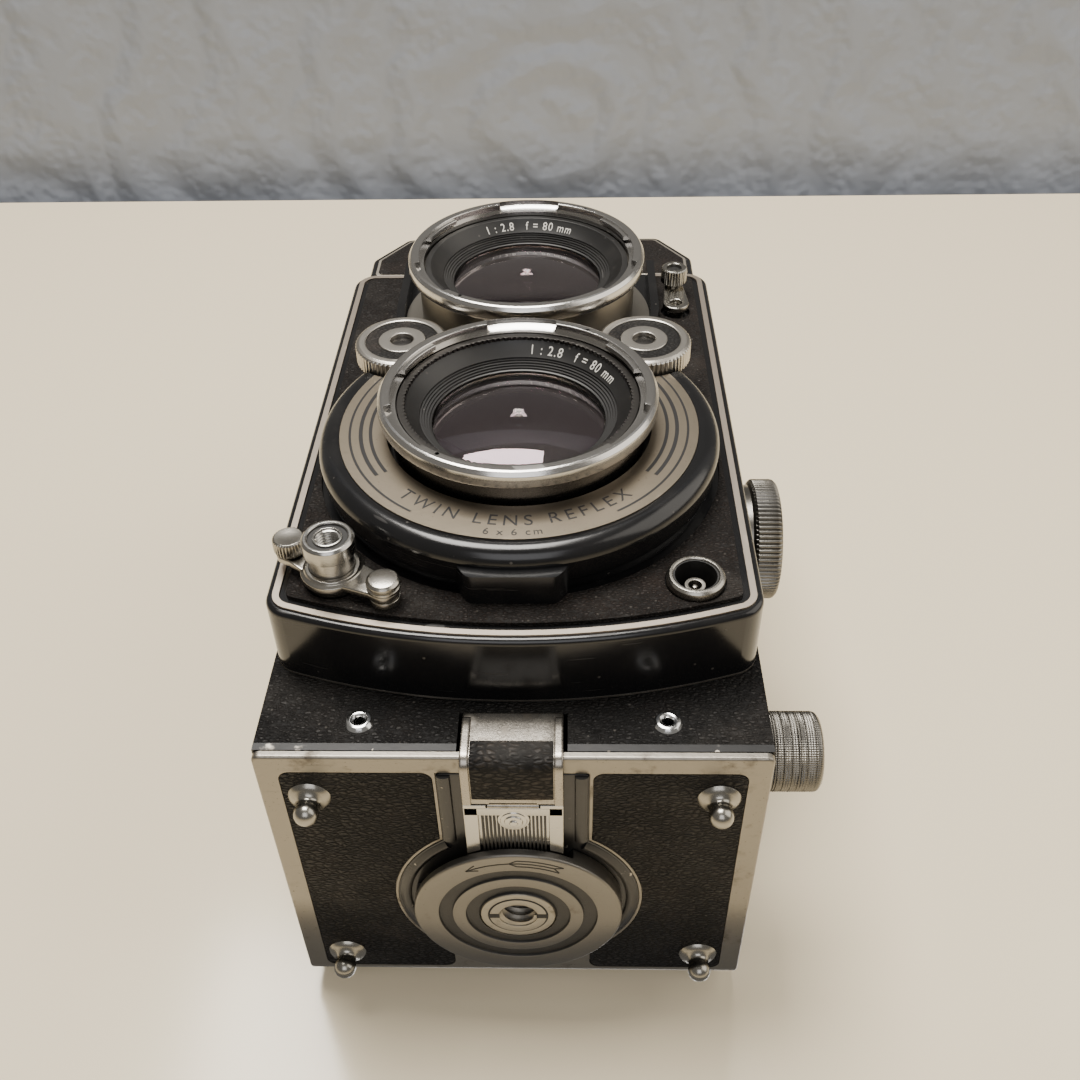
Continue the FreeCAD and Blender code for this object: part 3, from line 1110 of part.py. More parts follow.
for side in (-1, 1):
    low = min(side * (flap_half + 0.2), side * (flap_half + 0.9))
    ear = rod("x", flap_hinge_y, flap_hinge_z, 0.8, low, low + 0.7)
    ear = ear.fuse(block(low, low + 0.7, flap_hinge_y - 0.6, flap_hinge_y + 0.6, hood_base_top - 0.5,
                         flap_hinge_z))
    base = base.fuse(ear)
base = base.cut(rod("x", flap_hinge_y, flap_hinge_z, hinge_pin_r, -flap_half - 2, flap_half + 2))
base = base.cut(rod("x", hood_pivot_y, hood_pivot_z, hinge_pin_r, -25, 25))
pins.append(rod("x", flap_hinge_y, flap_hinge_z, hinge_pin_r, -flap_half - 0.9, flap_half + 0.9))
save("hood_base", base.removeSplitter(), *pins)

# Lid: a shallow tray hinged at the rear, with ears for the magnifier.
lid_rear_y = 18.0
lid_low_z = hood_base_top + 0.8
lid = block(-hood_half_width, hood_half_width, hood_front, lid_rear_y, lid_low_z, hood_top)
lid = rounded(lid, V(0, 0, 1), 3.0)
top_edges = [e for e in lid.Edges if e.BoundBox.ZMin > hood_top - 0.01]
lid = lid.makeFillet(1.2, top_edges)
lid = lid.cut(rounded(block(-hood_half_width + hood_sheet, hood_half_width - hood_sheet,
                            hood_front + hood_sheet,
                            lid_rear_y - hood_sheet, lid_low_z - 1, hood_top - hood_sheet), V(0, 0, 1),
                            2.2))
magnifier_y = hood_pivot_y - 30.0
magnifier_z = hood_top - hood_sheet - 1.6
for x0, x1 in lid_knuckles:
    lid = lid.fuse(rod("x", hood_pivot_y, hood_pivot_z, hinge_tube_r, x0, x1))
    lid = lid.fuse(block(x0, x1, lid_rear_y - hood_sheet, hood_pivot_y, hood_pivot_z - 0.4,
                         hood_pivot_z + 0.4))
lid = lid.cut(rod("x", hood_pivot_y, hood_pivot_z, hinge_pin_r + running, -25, 25))
for side in (-1, 1):
    low = min(side * 4.0, side * 5.2)
    ear = rod("x", magnifier_y, magnifier_z, 1.2, low, low + 1.2)
    lid = lid.fuse(ear.fuse(block(low, low + 1.2, magnifier_y - 1.2, magnifier_y + 1.2, magnifier_z,
                                  hood_top - hood_sheet)))
lid = lid.cut(rod("x", magnifier_y, magnifier_z, 0.5, -6, 6))
magnifier_pin = rod("x", magnifier_y, magnifier_z, 0.5, -5.2, 5.2)
save("hood_lid", lid.removeSplitter(), magnifier_pin)

# Side walls, drawn folded flat: they hinge along the sides.
wall_sheet = 0.8
rear_knee_y = hood_pivot_y - 13.0
wall_points = [V(-wall_hinge_x, wall_y0, 0), V(-wall_hinge_x, wall_y1, 0),
               V(-wall_hinge_x + hood_wall_rear_height, wall_y1, 0),
               V(-wall_hinge_x + hood_wall_height, rear_knee_y, 0),
               V(-wall_hinge_x + hood_wall_height, wall_y0, 0)]
left_wall = prism([p + V(0, 0, wall_hinge_z - wall_sheet / 2) for p in wall_points], V(0, 0, wall_sheet))
left_wall = left_wall.fuse(rod("y", -wall_hinge_x, wall_hinge_z, hinge_tube_r, wall_y0, wall_y1))
left_wall = left_wall.cut(rod("y", -wall_hinge_x, wall_hinge_z, hinge_pin_r + running, -60, 60))
save("hood_left_wall", left_wall)
save("hood_right_wall", mirrored(left_wall))

flap_tip = flap_half - hood_flap_height
flap_points = [V(-flap_half, flap_hinge_y, 0), V(flap_half, flap_hinge_y, 0),
               V(flap_tip, flap_hinge_y + hood_flap_height, 0),
               V(-flap_tip, flap_hinge_y + hood_flap_height, 0)]
flap = prism([p + V(0, 0, flap_hinge_z - 0.3) for p in flap_points], V(0, 0, 0.6))
flap = flap.fuse(rod("x", flap_hinge_y, flap_hinge_z, 0.8, -flap_half, flap_half))
flap = flap.cut(rod("x", flap_hinge_y, flap_hinge_z, hinge_pin_r + running, -40, 40))
save("hood_front_flap", flap)

# Magnifier: a ring on an arm, with its glass.
magnifier_r = 10.0
magnifier_glass_r = 8.6
glass_y = magnifier_y - 13.5
mount = rod("z", 0, glass_y, magnifier_r, magnifier_z - 1.2, magnifier_z + 1.0)
mount = mount.fuse(block(-3.8, 3.8, glass_y, magnifier_y, magnifier_z - 1.0, magnifier_z + 1.0))
mount = mount.fuse(rod("x", magnifier_y, magnifier_z, 1.2, -3.8, 3.8))
mount = mount.cut(rod("z", 0, glass_y, magnifier_glass_r, 100, 200))
mount = mount.cut(rod("x", magnifier_y, magnifier_z, 0.5 + running, -10, 10))
loupe = lens("z", 0, glass_y, magnifier_glass_r, magnifier_z - 0.6, magnifier_z + 0.4, 1.0, 0.8)
save("magnifier", mount.removeSplitter(), loupe)
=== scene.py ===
import bmesh
import bpy
import math
from mathutils import Matrix, Vector


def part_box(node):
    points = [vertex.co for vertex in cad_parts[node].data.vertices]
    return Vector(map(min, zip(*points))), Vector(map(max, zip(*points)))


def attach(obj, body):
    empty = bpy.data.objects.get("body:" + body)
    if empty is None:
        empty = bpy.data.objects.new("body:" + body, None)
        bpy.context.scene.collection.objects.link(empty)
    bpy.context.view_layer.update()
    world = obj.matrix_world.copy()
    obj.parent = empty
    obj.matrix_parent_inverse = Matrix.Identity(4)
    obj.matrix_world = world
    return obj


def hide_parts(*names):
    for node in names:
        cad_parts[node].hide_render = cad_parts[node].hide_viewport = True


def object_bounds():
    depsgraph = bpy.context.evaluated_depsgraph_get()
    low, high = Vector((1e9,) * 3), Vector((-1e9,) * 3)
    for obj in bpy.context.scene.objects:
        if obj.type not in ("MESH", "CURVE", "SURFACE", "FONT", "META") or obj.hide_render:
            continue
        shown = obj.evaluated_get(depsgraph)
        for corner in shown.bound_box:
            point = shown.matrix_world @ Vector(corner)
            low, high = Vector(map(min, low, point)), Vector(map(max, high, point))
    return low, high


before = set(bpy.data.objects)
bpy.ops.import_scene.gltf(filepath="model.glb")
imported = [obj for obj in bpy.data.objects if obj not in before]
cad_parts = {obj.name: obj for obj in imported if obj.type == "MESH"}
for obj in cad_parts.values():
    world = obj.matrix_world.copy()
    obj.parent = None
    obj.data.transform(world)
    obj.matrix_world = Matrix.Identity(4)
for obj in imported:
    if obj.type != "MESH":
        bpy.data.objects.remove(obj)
cad_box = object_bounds()

# ================================================================= table and light
# The camera lies on its back on a pale table, bottom towards the viewer. The table is
# the upright plane behind it here; the floor under its feet serves the other views.
# Each is see-through from behind, and neither takes light from the camera's surfaces.
MM = 0.001


def span(node):
    """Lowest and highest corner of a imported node, in millimetres."""
    low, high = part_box(node)
    return low / MM, high / MM


def plain_sheet(name, corners, colour, roughness, nearest, farthest=100.0):
    """A one-sided sheet seen only by rays between nearest and farthest long, in metres."""
    mesh = bpy.data.meshes.new(name)
    mesh.from_pydata(corners, [], [(0, 1, 2, 3)])
    sheet = bpy.data.objects.new(name, mesh)
    bpy.context.scene.collection.objects.link(sheet)
    material = bpy.data.materials.new(name)
    material.use_nodes = True
    nodes = material.node_tree.nodes
    links = material.node_tree.links
    shader = nodes["Principled BSDF"]
    shader.inputs["Base Color"].default_value = (*colour, 1)
    shader.inputs["Roughness"].default_value = roughness
    clear = nodes.new("ShaderNodeBsdfTransparent")
    ray = nodes.new("ShaderNodeLightPath")
    side = nodes.new("ShaderNodeNewGeometry")
    short = nodes.new("ShaderNodeMath")
    short.operation = "LESS_THAN"
    short.inputs[1].default_value = nearest
    long = nodes.new("ShaderNodeMath")
    long.operation = "GREATER_THAN"
    long.inputs[1].default_value = farthest
    outside = nodes.new("ShaderNodeMath")
    outside.operation = "MAXIMUM"
    either = nodes.new("ShaderNodeMath")
    either.operation = "MAXIMUM"
    mix = nodes.new("ShaderNodeMixShader")
    links.new(ray.outputs["Ray Length"], short.inputs[0])
    links.new(ray.outputs["Ray Length"], long.inputs[0])
    links.new(short.outputs[0], outside.inputs[0])
    links.new(long.outputs[0], outside.inputs[1])
    links.new(outside.outputs[0], either.inputs[0])
    links.new(side.outputs["Backfacing"], either.inputs[1])
    links.new(either.outputs[0], mix.inputs[0])
    links.new(shader.outputs[0], mix.inputs[1])
    links.new(clear.outputs[0], mix.inputs[2])
    links.new(mix.outputs[0], nodes["Material Output"].inputs["Surface"])
    mesh.materials.append(material)
    sheet.visible_shadow = False
    return sheet


cream = (0.84, 0.73, 0.53)
table_y = cad_box[1][1] + 0.0034
reach = 3.0
plain_sheet("table", [(-reach, table_y, -reach), (reach, table_y, -reach), (reach, table_y, reach),
    (-reach, table_y, reach)], cream, 0.16, 0.03)
floor_z = cad_box[0][2] - 0.0002
floor = plain_sheet("floor", [(-reach, -reach, floor_z), (reach, -reach, floor_z),
    (reach, reach, floor_z), (-reach, reach, floor_z)], cream, 0.5, 0.03)
wall_z = 0.334
wall = plain_sheet("wall", [(-1, table_y, wall_z), (1, table_y, wall_z), (1, -0.5, wall_z),
    (-1, -0.5, wall_z)], (0.31, 0.335, 0.385), 0.8, 0.43, 0.56)
nodes = wall.data.materials[0].node_tree.nodes
links = wall.data.materials[0].node_tree.links
sweeps = nodes.new("ShaderNodeTexWave")
sweeps.wave_type = "RINGS"
sweeps.rings_direction = "Z"
sweeps.inputs["Scale"].default_value = 9.0
sweeps.inputs["Distortion"].default_value = 9.0
sweeps.inputs["Detail"].default_value = 4.0
sweeps.inputs["Detail Scale"].default_value = 2.2
plaster = nodes.new("ShaderNodeBump")
plaster.inputs["Distance"].default_value = 0.004
plaster.inputs["Strength"].default_value = 0.55
spot = nodes.new("ShaderNodeTexCoord")
links.new(spot.outputs["Object"], sweeps.inputs["Vector"])
links.new(sweeps.outputs["Fac"], plaster.inputs["Height"])
links.new(plaster.outputs["Normal"], nodes["Principled BSDF"].inputs["Normal"])
floor.visible_diffuse = False
floor.visible_glossy = False

world = bpy.data.worlds.new("studio")
world.use_nodes = True
sky = world.node_tree.nodes["Background"]
sky.inputs["Color"].default_value = (0.86, 0.82, 0.76, 1)
sky.inputs["Strength"].default_value = 0.3
bpy.context.scene.world = world


def soft_light(name, place, size, power, colour):
    """A square area light in metres that faces the camera's middle."""
    data = bpy.data.lights.new(name, "AREA")
    data.size = size
    data.energy = power
    data.color = colour
    lamp = bpy.data.objects.new(name, data)
    bpy.context.scene.collection.objects.link(lamp)
    lamp.location = place
    middle = Vector((0, 0, 0.07))
    lamp.rotation_euler = (middle - Vector(place)).to_track_quat("-Z", "Y").to_euler()
    return lamp


soft_light("window", (-0.12, -0.9, 0.28), 0.46, 15.0, (1.0, 0.96, 0.9))
soft_light("fill", (0.7, -0.5, 0.1), 0.8, 4.0, (1.0, 0.94, 0.85))
soft_light("low_front", (0.0, -0.55, -0.55), 0.5, 1.6, (0.97, 0.97, 1.0))
soft_light("back", (0.2, 0.9, 0.5), 0.8, 5.0, (1.0, 0.98, 0.95))

# Viewpoint: a hand's length in front of the feet, looking up along the lenses' side.
eye = Vector((8.5, -167.9, -99.4)) * MM
pitch = math.radians(41.13)
yaw = math.radians(1.518)
roll = math.radians(-0.04)
forward = Vector((0, math.sin(pitch), math.cos(pitch)))
right = Vector((1, 0, 0))
down = -right.cross(forward)
level = Matrix((right, down, forward))
view = Matrix.Rotation(roll, 3, "Z") @ Matrix.Rotation(yaw, 3, "Y") @ level
viewer = bpy.data.objects.new("viewer", bpy.data.cameras.new("viewer"))
viewer.data.sensor_width = 36.0
viewer.data.lens = 38.07
viewer.data.clip_start = 0.01
bpy.context.scene.collection.objects.link(viewer)
viewer.matrix_world = Matrix.Translation(eye) @ Matrix((view[0], -view[1],
    -view[2])).transposed().to_4x4()
bpy.context.scene.camera = viewer

# =================================================================== body casting
# Die-cast light-alloy box, stove-enamelled black inside and out. Its lip shows as a dark
# double line above the back door, with the enamel chipped at the left front corner.


class Net:
    """Adds shader nodes to a tree. A value is a number, a colour or another node's output."""

    def __init__(self, tree):
        self.tree = tree

    def feed(self, socket, value):
        if isinstance(value, bpy.types.NodeSocket):
            self.tree.links.new(value, socket)
        elif socket.type == "RGBA":
            socket.default_value = (*value[:3], 1)
        else:
            socket.default_value = value

    def node(self, kind, settings=None, **values):
        made = self.tree.nodes.new("ShaderNode" + kind)
        for key, value in (settings or {}).items():
            setattr(made, key, value)
        for label, value in values.items():
            self.feed(made.inputs[label.replace("_", " ")], value)
        return made

    def math(self, operation, *values):
        made = self.node("Math", {"operation": operation})
        for socket, value in zip(made.inputs, values):
            self.feed(socket, value)
        return made.outputs[0]

    def times(self, first, second):
        return self.math("MULTIPLY", first, second)

    def plus(self, first, second):
        return self.math("ADD", first, second)

    def minus(self, first, second):
        return self.math("SUBTRACT", first, second)

    def most(self, first, second):
        return self.math("MAXIMUM", first, second)

    def vector(self, operation, *values):
        made = self.node("VectorMath", {"operation": operation})
        for socket, value in zip(made.inputs, values):
            self.feed(socket, value)
        return made.outputs["Value" if operation in ("LENGTH", "DOT_PRODUCT") else "Vector"]

    def step(self, value, low, high, out_low=0.0, out_high=1.0):
        """Smooth step from low to high."""
        made = self.node("MapRange", {"interpolation_type": "SMOOTHSTEP"}, Value=value, From_Min=low,
            From_Max=high, To_Min=out_low, To_Max=out_high)
        return made.outputs[0]

    def blend(self, share, first, second, mode="MIX"):
        made = self.node("Mix", {"data_type": "RGBA", "blend_type": mode})
        self.feed(made.inputs[0], share)
        self.feed(made.inputs[6], first)
        self.feed(made.inputs[7], second)
        return made.outputs[2]

    def place(self):
        """Position on the camera, in metres."""
        return self.node("TexCoord").outputs["Object"]

    def noise(self, scale, detail=4.0, place=None, roughness=0.55):
        made = self.node("TexNoise", Vector=place or self.place(), Scale=scale, Detail=detail,
            Roughness=roughness)
        return made.outputs["Fac"]

    def group(self, name, **values):
        made = self.node("Group", {"node_tree": bpy.data.node_groups[name]})
        for label, value in values.items():
            self.feed(made.inputs[label.replace("_", " ")], value)
        return made.outputs


def shader_group(name, inputs, outputs):
    """An empty node group with named inputs and outputs, ready to be filled."""
    tree = bpy.data.node_groups.new(name, "ShaderNodeTree")
    for label, start in inputs.items():
        kind = "NodeSocketColor" if isinstance(start, tuple) else "NodeSocketFloat"
        socket = tree.interface.new_socket(label, in_out="INPUT", socket_type=kind)
        socket.default_value = (*start, 1) if isinstance(start, tuple) else start
    for label in outputs:
        kind = "NodeSocketColor" if label == "Colour" else "NodeSocketFloat"
        tree.interface.new_socket(label, in_out="OUTPUT", socket_type=kind)
    enter = tree.nodes.new("NodeGroupInput").outputs
    leave = tree.nodes.new("NodeGroupOutput").inputs
    return Net(tree), enter, leave


def finish(name, **values):
    """A new material; values are set directly on its shader. Returns material, net and shader."""
    material = bpy.data.materials.new(name)
    material.use_nodes = True
    net = Net(material.node_tree)
    shader = material.node_tree.nodes["Principled BSDF"]
    for label, value in values.items():
        net.feed(shader.inputs[label.replace("_", " ")], value)
    return material, net, shader


def bump(net, shader, height, depth, strength=1.0):
    """Feeds height, 0 to 1, to the shader's normal as relief of that depth in millimetres."""
    made = net.node("Bump", Height=height, Strength=strength, Distance=depth * MM)
    net.feed(shader.inputs["Normal"], made.outputs["Normal"])


# Dust and lint: scattered specks of two sizes.
net, enter, leave = shader_group("dust", {"Amount": 0.5, "Size": 900.0}, ["Mask"])
specks = net.node("TexVoronoi", Vector=net.place(), Scale=enter["Size"])
tone = net.node("SeparateColor", Color=specks.outputs["Color"]).outputs[0]
kept = net.math("GREATER_THAN", tone, net.minus(1.0, net.times(enter["Amount"], 0.3)))
dot = net.step(specks.outputs["Distance"], 0.22, 0.08)
haze = net.step(net.noise(90.0, 6.0), 0.48, 0.75)
haze = net.times(haze, net.times(enter["Amount"], 0.35))
net.feed(leave["Mask"], net.most(net.times(net.times(dot, kept), 0.7), haze))

# Hairlines: fine scratches in two crossing directions.
net, enter, leave = shader_group("hairlines", {"Amount": 0.5, "Size": 60.0}, ["Mask"])
lines = []
for tilt in (0.5, 1.9, 2.7):
    turned_place = net.node("Mapping", Vector=net.place(), Rotation=(tilt, 0.6 * tilt, tilt),
        Scale=(1.0, 26.0, 1.0))
    streaks = net.noise(enter["Size"], 2.0, turned_place.outputs[0])
    lines.append(net.step(streaks, 0.70, 0.74))
most = net.most(net.most(lines[0], lines[1]), lines[2])
net.feed(leave["Mask"], net.times(most, enter["Amount"]))


def enamel(name, colour=(0.006, 0.006, 0.0065), roughness=0.15, dust=0.25, ripple=0.012, rubbed=None):
    """Gloss black enamel; rubbed(net) gives a mask of where it is worn to the metal."""
    material, net, shader = finish(name, Specular_IOR_Level=0.5)
    specks = net.group("dust", Amount=dust, Size=700.0)["Mask"]
    scratches = net.group("hairlines", Amount=0.6, Size=70.0)["Mask"]
    marks = net.most(net.times(specks, 0.16), net.times(scratches, 0.05))
    paint = net.blend(marks, colour, (0.42, 0.38, 0.33))
    matt = net.plus(roughness, net.times(net.noise(160.0, 5.0), 0.1))
    matt = net.plus(matt, net.times(net.most(specks, scratches), 0.3))
    height = net.noise(420.0, 2.0)
    if rubbed:
        bare = rubbed(net)
        paint = net.blend(bare, paint, (0.5, 0.46, 0.4))
        matt = net.plus(matt, net.times(bare, 0.2))
        net.feed(shader.inputs["Metallic"], bare)
        height = net.minus(height, net.times(bare, 2.0))
    net.feed(shader.inputs["Base Color"], paint)
    net.feed(shader.inputs["Roughness"], matt)
    bump(net, shader, height, ripple)
    return material


def dress(node, material):
    """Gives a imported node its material."""
    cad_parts[node].data.materials.clear()
    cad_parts[node].data.materials.append(material)


casting_low = span("body_casting")[0]
lip_high = span("body_leather")[0].z


def chipped_lip(net):
    """Small chips along the casting's lower front lip, mostly at the left corner."""
    spot = net.node("SeparateXYZ", Vector=net.place()).outputs
    near_lip = net.step(spot[2], (lip_high + 0.05) * MM, (lip_high - 0.35) * MM)
    front = net.step(spot[1], (casting_low.y + 1.2) * MM, casting_low.y * MM)
    left = net.step(spot[0], -22.0 * MM, -33.0 * MM)
    flakes = net.step(net.noise(330.0, 3.0), net.minus(0.68, net.times(left, 0.12)), 0.70)
    return net.times(net.times(near_lip, front), flakes)


dress("body_casting", enamel("casting_enamel", roughness=0.3, ripple=0.02, rubbed=chipped_lip))

# ====================================================================== body leather
# Black goatskin glued to the casting's sides and lower front, pressed with an
# irregular pebble grain and rubbed smooth where hands hold the camera.
# The crease colour below is painted shade for the valleys between the pebbles.
net, enter, leave = shader_group("leather grain", {"Pebble": 1800.0, "Skin": (0.0075, 0.0068, 0.0063),
    "Crease": (0.003, 0.0027, 0.0025), "Rubbed": (0.06, 0.045, 0.036), "Wear": 0.3},
    ["Colour", "Roughness", "Height"])
drift = net.node("TexNoise", Vector=net.place(), Scale=420.0, Detail=2.0)
shift = net.vector("SCALE", drift.outputs["Color"])
shift.node.inputs["Scale"].default_value = 0.0007
bent_place = net.vector("ADD", net.place(), shift)
stretched = net.node("Mapping", Vector=bent_place, Rotation=(0.0, 0.4, 0.5),
    Scale=(0.5, 1.0, 1.0)).outputs[0]
pebbles = net.node("TexVoronoi", {"feature": "DISTANCE_TO_EDGE"}, Vector=stretched, Scale=enter["Pebble"])
dome = net.step(pebbles.outputs["Distance"], 0.0, 0.34)
wrinkle = net.noise(2600.0, 3.0)
height = net.plus(net.times(dome, 0.8), net.times(wrinkle, 0.35))
swell = net.noise(130.0, 3.0)
rub = net.times(net.step(net.plus(swell, net.times(dome, 0.15)), 0.5, 0.85), enter["Wear"])
# The crease colour darkens the valleys between the pebbles: painted shade in the grain's creases, over
# the bump's relief.
base = net.blend(net.step(dome, 0.0, 0.5), enter["Crease"], enter["Skin"])
specks = net.group("dust", Amount=0.55, Size=800.0)["Mask"]
base = net.blend(rub, base, enter["Rubbed"])
net.feed(leave["Colour"], net.blend(net.times(specks, 0.22), base, (0.35, 0.32, 0.28)))
matt = net.minus(0.62, net.times(dome, 0.2))
net.feed(leave["Roughness"], net.plus(matt, net.times(wrinkle, 0.12)))
net.feed(leave["Height"], net.plus(height, net.times(swell, 0.5)))


def leather(name, depth=0.16, **values):
    """Grained leather; values go to the grain's inputs."""
    material, net, shader = finish(name, Specular_IOR_Level=0.22)
    grain = net.group("leather grain", **values)
    net.feed(shader.inputs["Base Color"], grain["Colour"])
    net.feed(shader.inputs["Roughness"], grain["Roughness"])
    bump(net, shader, grain["Height"], depth)
    return material


body_hide = leather("body_hide", depth=0.3, Pebble=1900.0, Wear=0.1)
dress("body_leather", body_hide)

# ============================================================ flash bracket eyelets
# Two brass eyelets, turned, chromed and pressed into the casting's lower front. The
# pegs of a flash bracket enter them; grime gathers in their rims.
net, enter, leave = shader_group("grime", {"Clean": (0.6, 0.6, 0.58), "Stain": (0.12, 0.09, 0.06),
    "Size": 240.0, "Cover": 0.3, "Smooth": 0.15, "Dull": 0.42}, ["Colour", "Roughness", "Height"])
cloud = net.noise(enter["Size"], 7.0, None, 0.62)
fine = net.noise(net.times(enter["Size"], 11.0), 3.0)
edge = net.minus(0.78, net.times(enter["Cover"], 0.45))
patch = net.step(cloud, edge, net.plus(edge, 0.22))
pits = net.step(fine, 0.66, 0.74)
dirt = net.math("MINIMUM", 1.0, net.plus(net.times(patch, 0.75), net.times(pits, enter["Cover"])))
scratches = net.group("hairlines", Amount=0.8, Size=75.0)["Mask"]
net.feed(leave["Colour"], net.blend(dirt, enter["Clean"], enter["Stain"]))
polish = net.node("Mix", {"data_type": "FLOAT"})
net.feed(polish.inputs[0], net.most(dirt, net.times(fine, 0.4)))
net.feed(polish.inputs[2], enter["Smooth"])
net.feed(polish.inputs[3], enter["Dull"])
net.feed(leave["Roughness"], net.plus(polish.outputs[0], net.times(scratches, 0.15)))
net.feed(leave["Height"], net.minus(fine, net.plus(dirt, scratches)))

# Tool marks: fine rings left by a lathe on a face or round a rim.
net, enter, leave = shader_group("tool marks", {"Radius": 0.01, "Along": 0.0, "Pitch": 0.00012},
    ["Height"])
path = net.math("DIVIDE", net.plus(enter["Radius"], enter["Along"]), enter["Pitch"])
rings = net.node("TexNoise", {"noise_dimensions": "1D"}, W=path, Scale=0.8, Detail=3.0)
net.feed(leave["Height"], rings.outputs["Fac"])


def metal(name, clean=(0.62, 0.61, 0.58), stain=(0.16, 0.12, 0.08), cover=0.25, size=240.0, smooth=0.14,
        dull=0.4, relief=0.006, lathe=None, bands=()):
    """Plated or bare metal. lathe is (axis, centre in mm): it adds that axis's tool marks.
    bands are (inner, outer) radii in mm about that axis that are filled with black lacquer."""
    material, net, shader = finish(name)
    grime = net.group("grime", Clean=clean, Stain=stain, Cover=cover, Size=size, Smooth=smooth, Dull=dull)
    height = grime["Height"]
    colour = grime["Colour"]
    matt = grime["Roughness"]
    black = None
    if lathe:
        axis, centre = lathe
        offset = net.vector("SUBTRACT", net.place(), Vector(centre) * MM)
        flat = [0.0 if letter == axis else 1.0 for letter in "xyz"]
        radius = net.vector("LENGTH", net.vector("MULTIPLY", offset, Vector(flat)))
        along = net.node("SeparateXYZ", Vector=offset).outputs["xyz".index(axis)]
        marks = net.group("tool marks", Radius=radius, Along=along)["Height"]
        height = net.plus(height, net.times(marks, 1.4))
        matt = net.plus(matt, net.times(marks, 0.08))
        for inner, outer in bands:
            inside = net.step(radius, (inner - 0.04) * MM, (inner + 0.04) * MM)
            band = net.times(inside, net.step(radius, (outer + 0.04) * MM, (outer - 0.04) * MM))
            black = band if black is None else net.most(black, band)
    if black is None:
        shader.inputs["Metallic"].default_value = 1.0
    else:
        colour = net.blend(black, colour, net.blend(net.noise(300.0), (0.008, 0.008, 0.008),
            (0.03, 0.028, 0.025)))
        net.feed(shader.inputs["Metallic"], net.minus(1.0, black))
        matt = net.plus(matt, net.times(black, 0.12))
    net.feed(shader.inputs["Base Color"], colour)
    net.feed(shader.inputs["Roughness"], matt)
    bump(net, shader, height, relief)
    return material


def softened(outline, closed):
    """An outline's points, with each corner that has a third number rounded to that radius."""
    points = []
    for number, corner in enumerate(outline):
        here = Vector(corner[:2])
        end_point = not closed and number in (0, len(outline) - 1)
        if len(corner) < 3 or end_point:
            points.append(here)
            continue
        before = Vector(outline[number - 1][:2]) - here
        after = Vector(outline[(number + 1) % len(outline)][:2]) - here
        half = before.angle(after) / 2
        run = min(corner[2] / math.tan(half), 0.45 * before.length, 0.45 * after.length)
        radius = run * math.tan(half)
        before.normalize()
        after.normalize()
        centre = here + (before + after).normalized() * radius / math.sin(half)
        first = here + before * run - centre
        last = here + after * run - centre
        for share in (0.0, 0.25, 0.5, 0.75, 1.0):
            points.append(centre + first.lerp(last, share).normalized() * radius)
    return points


def new_piece(name, shape, crease=34.0):
    """An object made from shape, a bmesh in metres, smooth but for edges sharper than crease."""
    mesh = bpy.data.meshes.new(name)
    bmesh.ops.remove_doubles(shape, verts=shape.verts, dist=1e-7)
    bmesh.ops.recalc_face_normals(shape, faces=shape.faces)
    shape.to_mesh(mesh)
    shape.free()
    mesh.shade_smooth()
    mesh.set_sharp_from_angle(angle=math.radians(crease))
    piece = bpy.data.objects.new(name, mesh)
    bpy.context.scene.collection.objects.link(piece)
    return piece


def turned(name, outline, centre, axis="y", steps=128, relief=None, arc=None, crease=34.0):
    """A lathe-turned piece. outline is (radius, along) points in mm; a third number rounds
    that corner. relief(radius, along, angle) changes a radius; arc is (start, end) in radians."""
    closed = max(outline[0][0], outline[-1][0]) > 1e-6
    points = softened(outline, closed)
    shape = bmesh.new()
    angles = [2 * math.pi * step / steps for step in range(steps)]
    if arc:
        angles = [arc[0] + (arc[1] - arc[0]) * step / steps for step in range(steps + 1)]
    rings = []
    for radius, along in points:
        ring = []
        for angle in angles if radius > 1e-6 else angles[:1]:
            r = relief(radius, along, angle) if relief else radius
            a = r * math.cos(angle)
            b = r * math.sin(angle)
            spot = {"x": (along, centre[1] + a, centre[2] + b), "y": (centre[0] + a, along,
                centre[2] + b), "z": (centre[0] + a, centre[1] + b, along)}[axis]
            ring.append(shape.verts.new(Vector(spot) * MM))
        rings.append(ring)
    pairs = list(zip(rings, rings[1:]))
    if closed:
        pairs.append((rings[-1], rings[0]))
    for first, second in pairs:
        for step in range(len(angles) if not arc else len(angles) - 1):
            after = (step + 1) % len(angles)
            corners = [first[step % len(first)], first[after % len(first)], second[after % len(second)],
                second[step % len(second)]]
            corners = list(dict.fromkeys(corners))
            if len(corners) > 2:
                shape.faces.new(corners)
    if arc:
        for end in (0, -1):
            shape.faces.new([ring[end] for ring in rings])
    return new_piece(name, shape, crease)


def fit_on(piece, body, slot, material, *replaced):
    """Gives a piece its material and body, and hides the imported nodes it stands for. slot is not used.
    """
    piece.data.materials.clear()
    piece.data.materials.append(material)
    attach(piece, body)
    if replaced:
        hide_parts(*replaced)
    return piece


def joined(name, pieces):
    """Several pieces made into one object."""
    shape = bmesh.new()
    for piece in pieces:
        shape.from_mesh(piece.data)
        old = piece.data
        bpy.data.objects.remove(piece)
        bpy.data.meshes.remove(old)
    return new_piece(name, shape)


eyelet_low, eyelet_high = span("flash_bracket_eyelets")
eyelet_r = (eyelet_high.z - eyelet_low.z) / 2
eyelet_x = eyelet_high.x - eyelet_r
eyelet_z = (eyelet_high.z + eyelet_low.z) / 2
eyelet_skin = casting_low.y
eyelet_chrome = metal("eyelet_chrome", clean=(0.66, 0.66, 0.65), cover=0.22, smooth=0.1)
eyelets = []
for side in (-1, 1):
    eyelets.append(turned("eyelet", [(0.78, eyelet_high.y), (0.78, eyelet_low.y + 0.5, 0.25),
        (1.0, eyelet_low.y + 0.12, 0.15), (1.35, eyelet_low.y, 0.3), (1.8, eyelet_low.y + 0.12, 0.3),
        (eyelet_r, eyelet_skin - 0.05, 0.15), (eyelet_r, eyelet_skin + 0.05), (1.35, eyelet_skin + 0.05),
        (1.35, eyelet_high.y)], (side * eyelet_x, 0, eyelet_z), "y", 64))
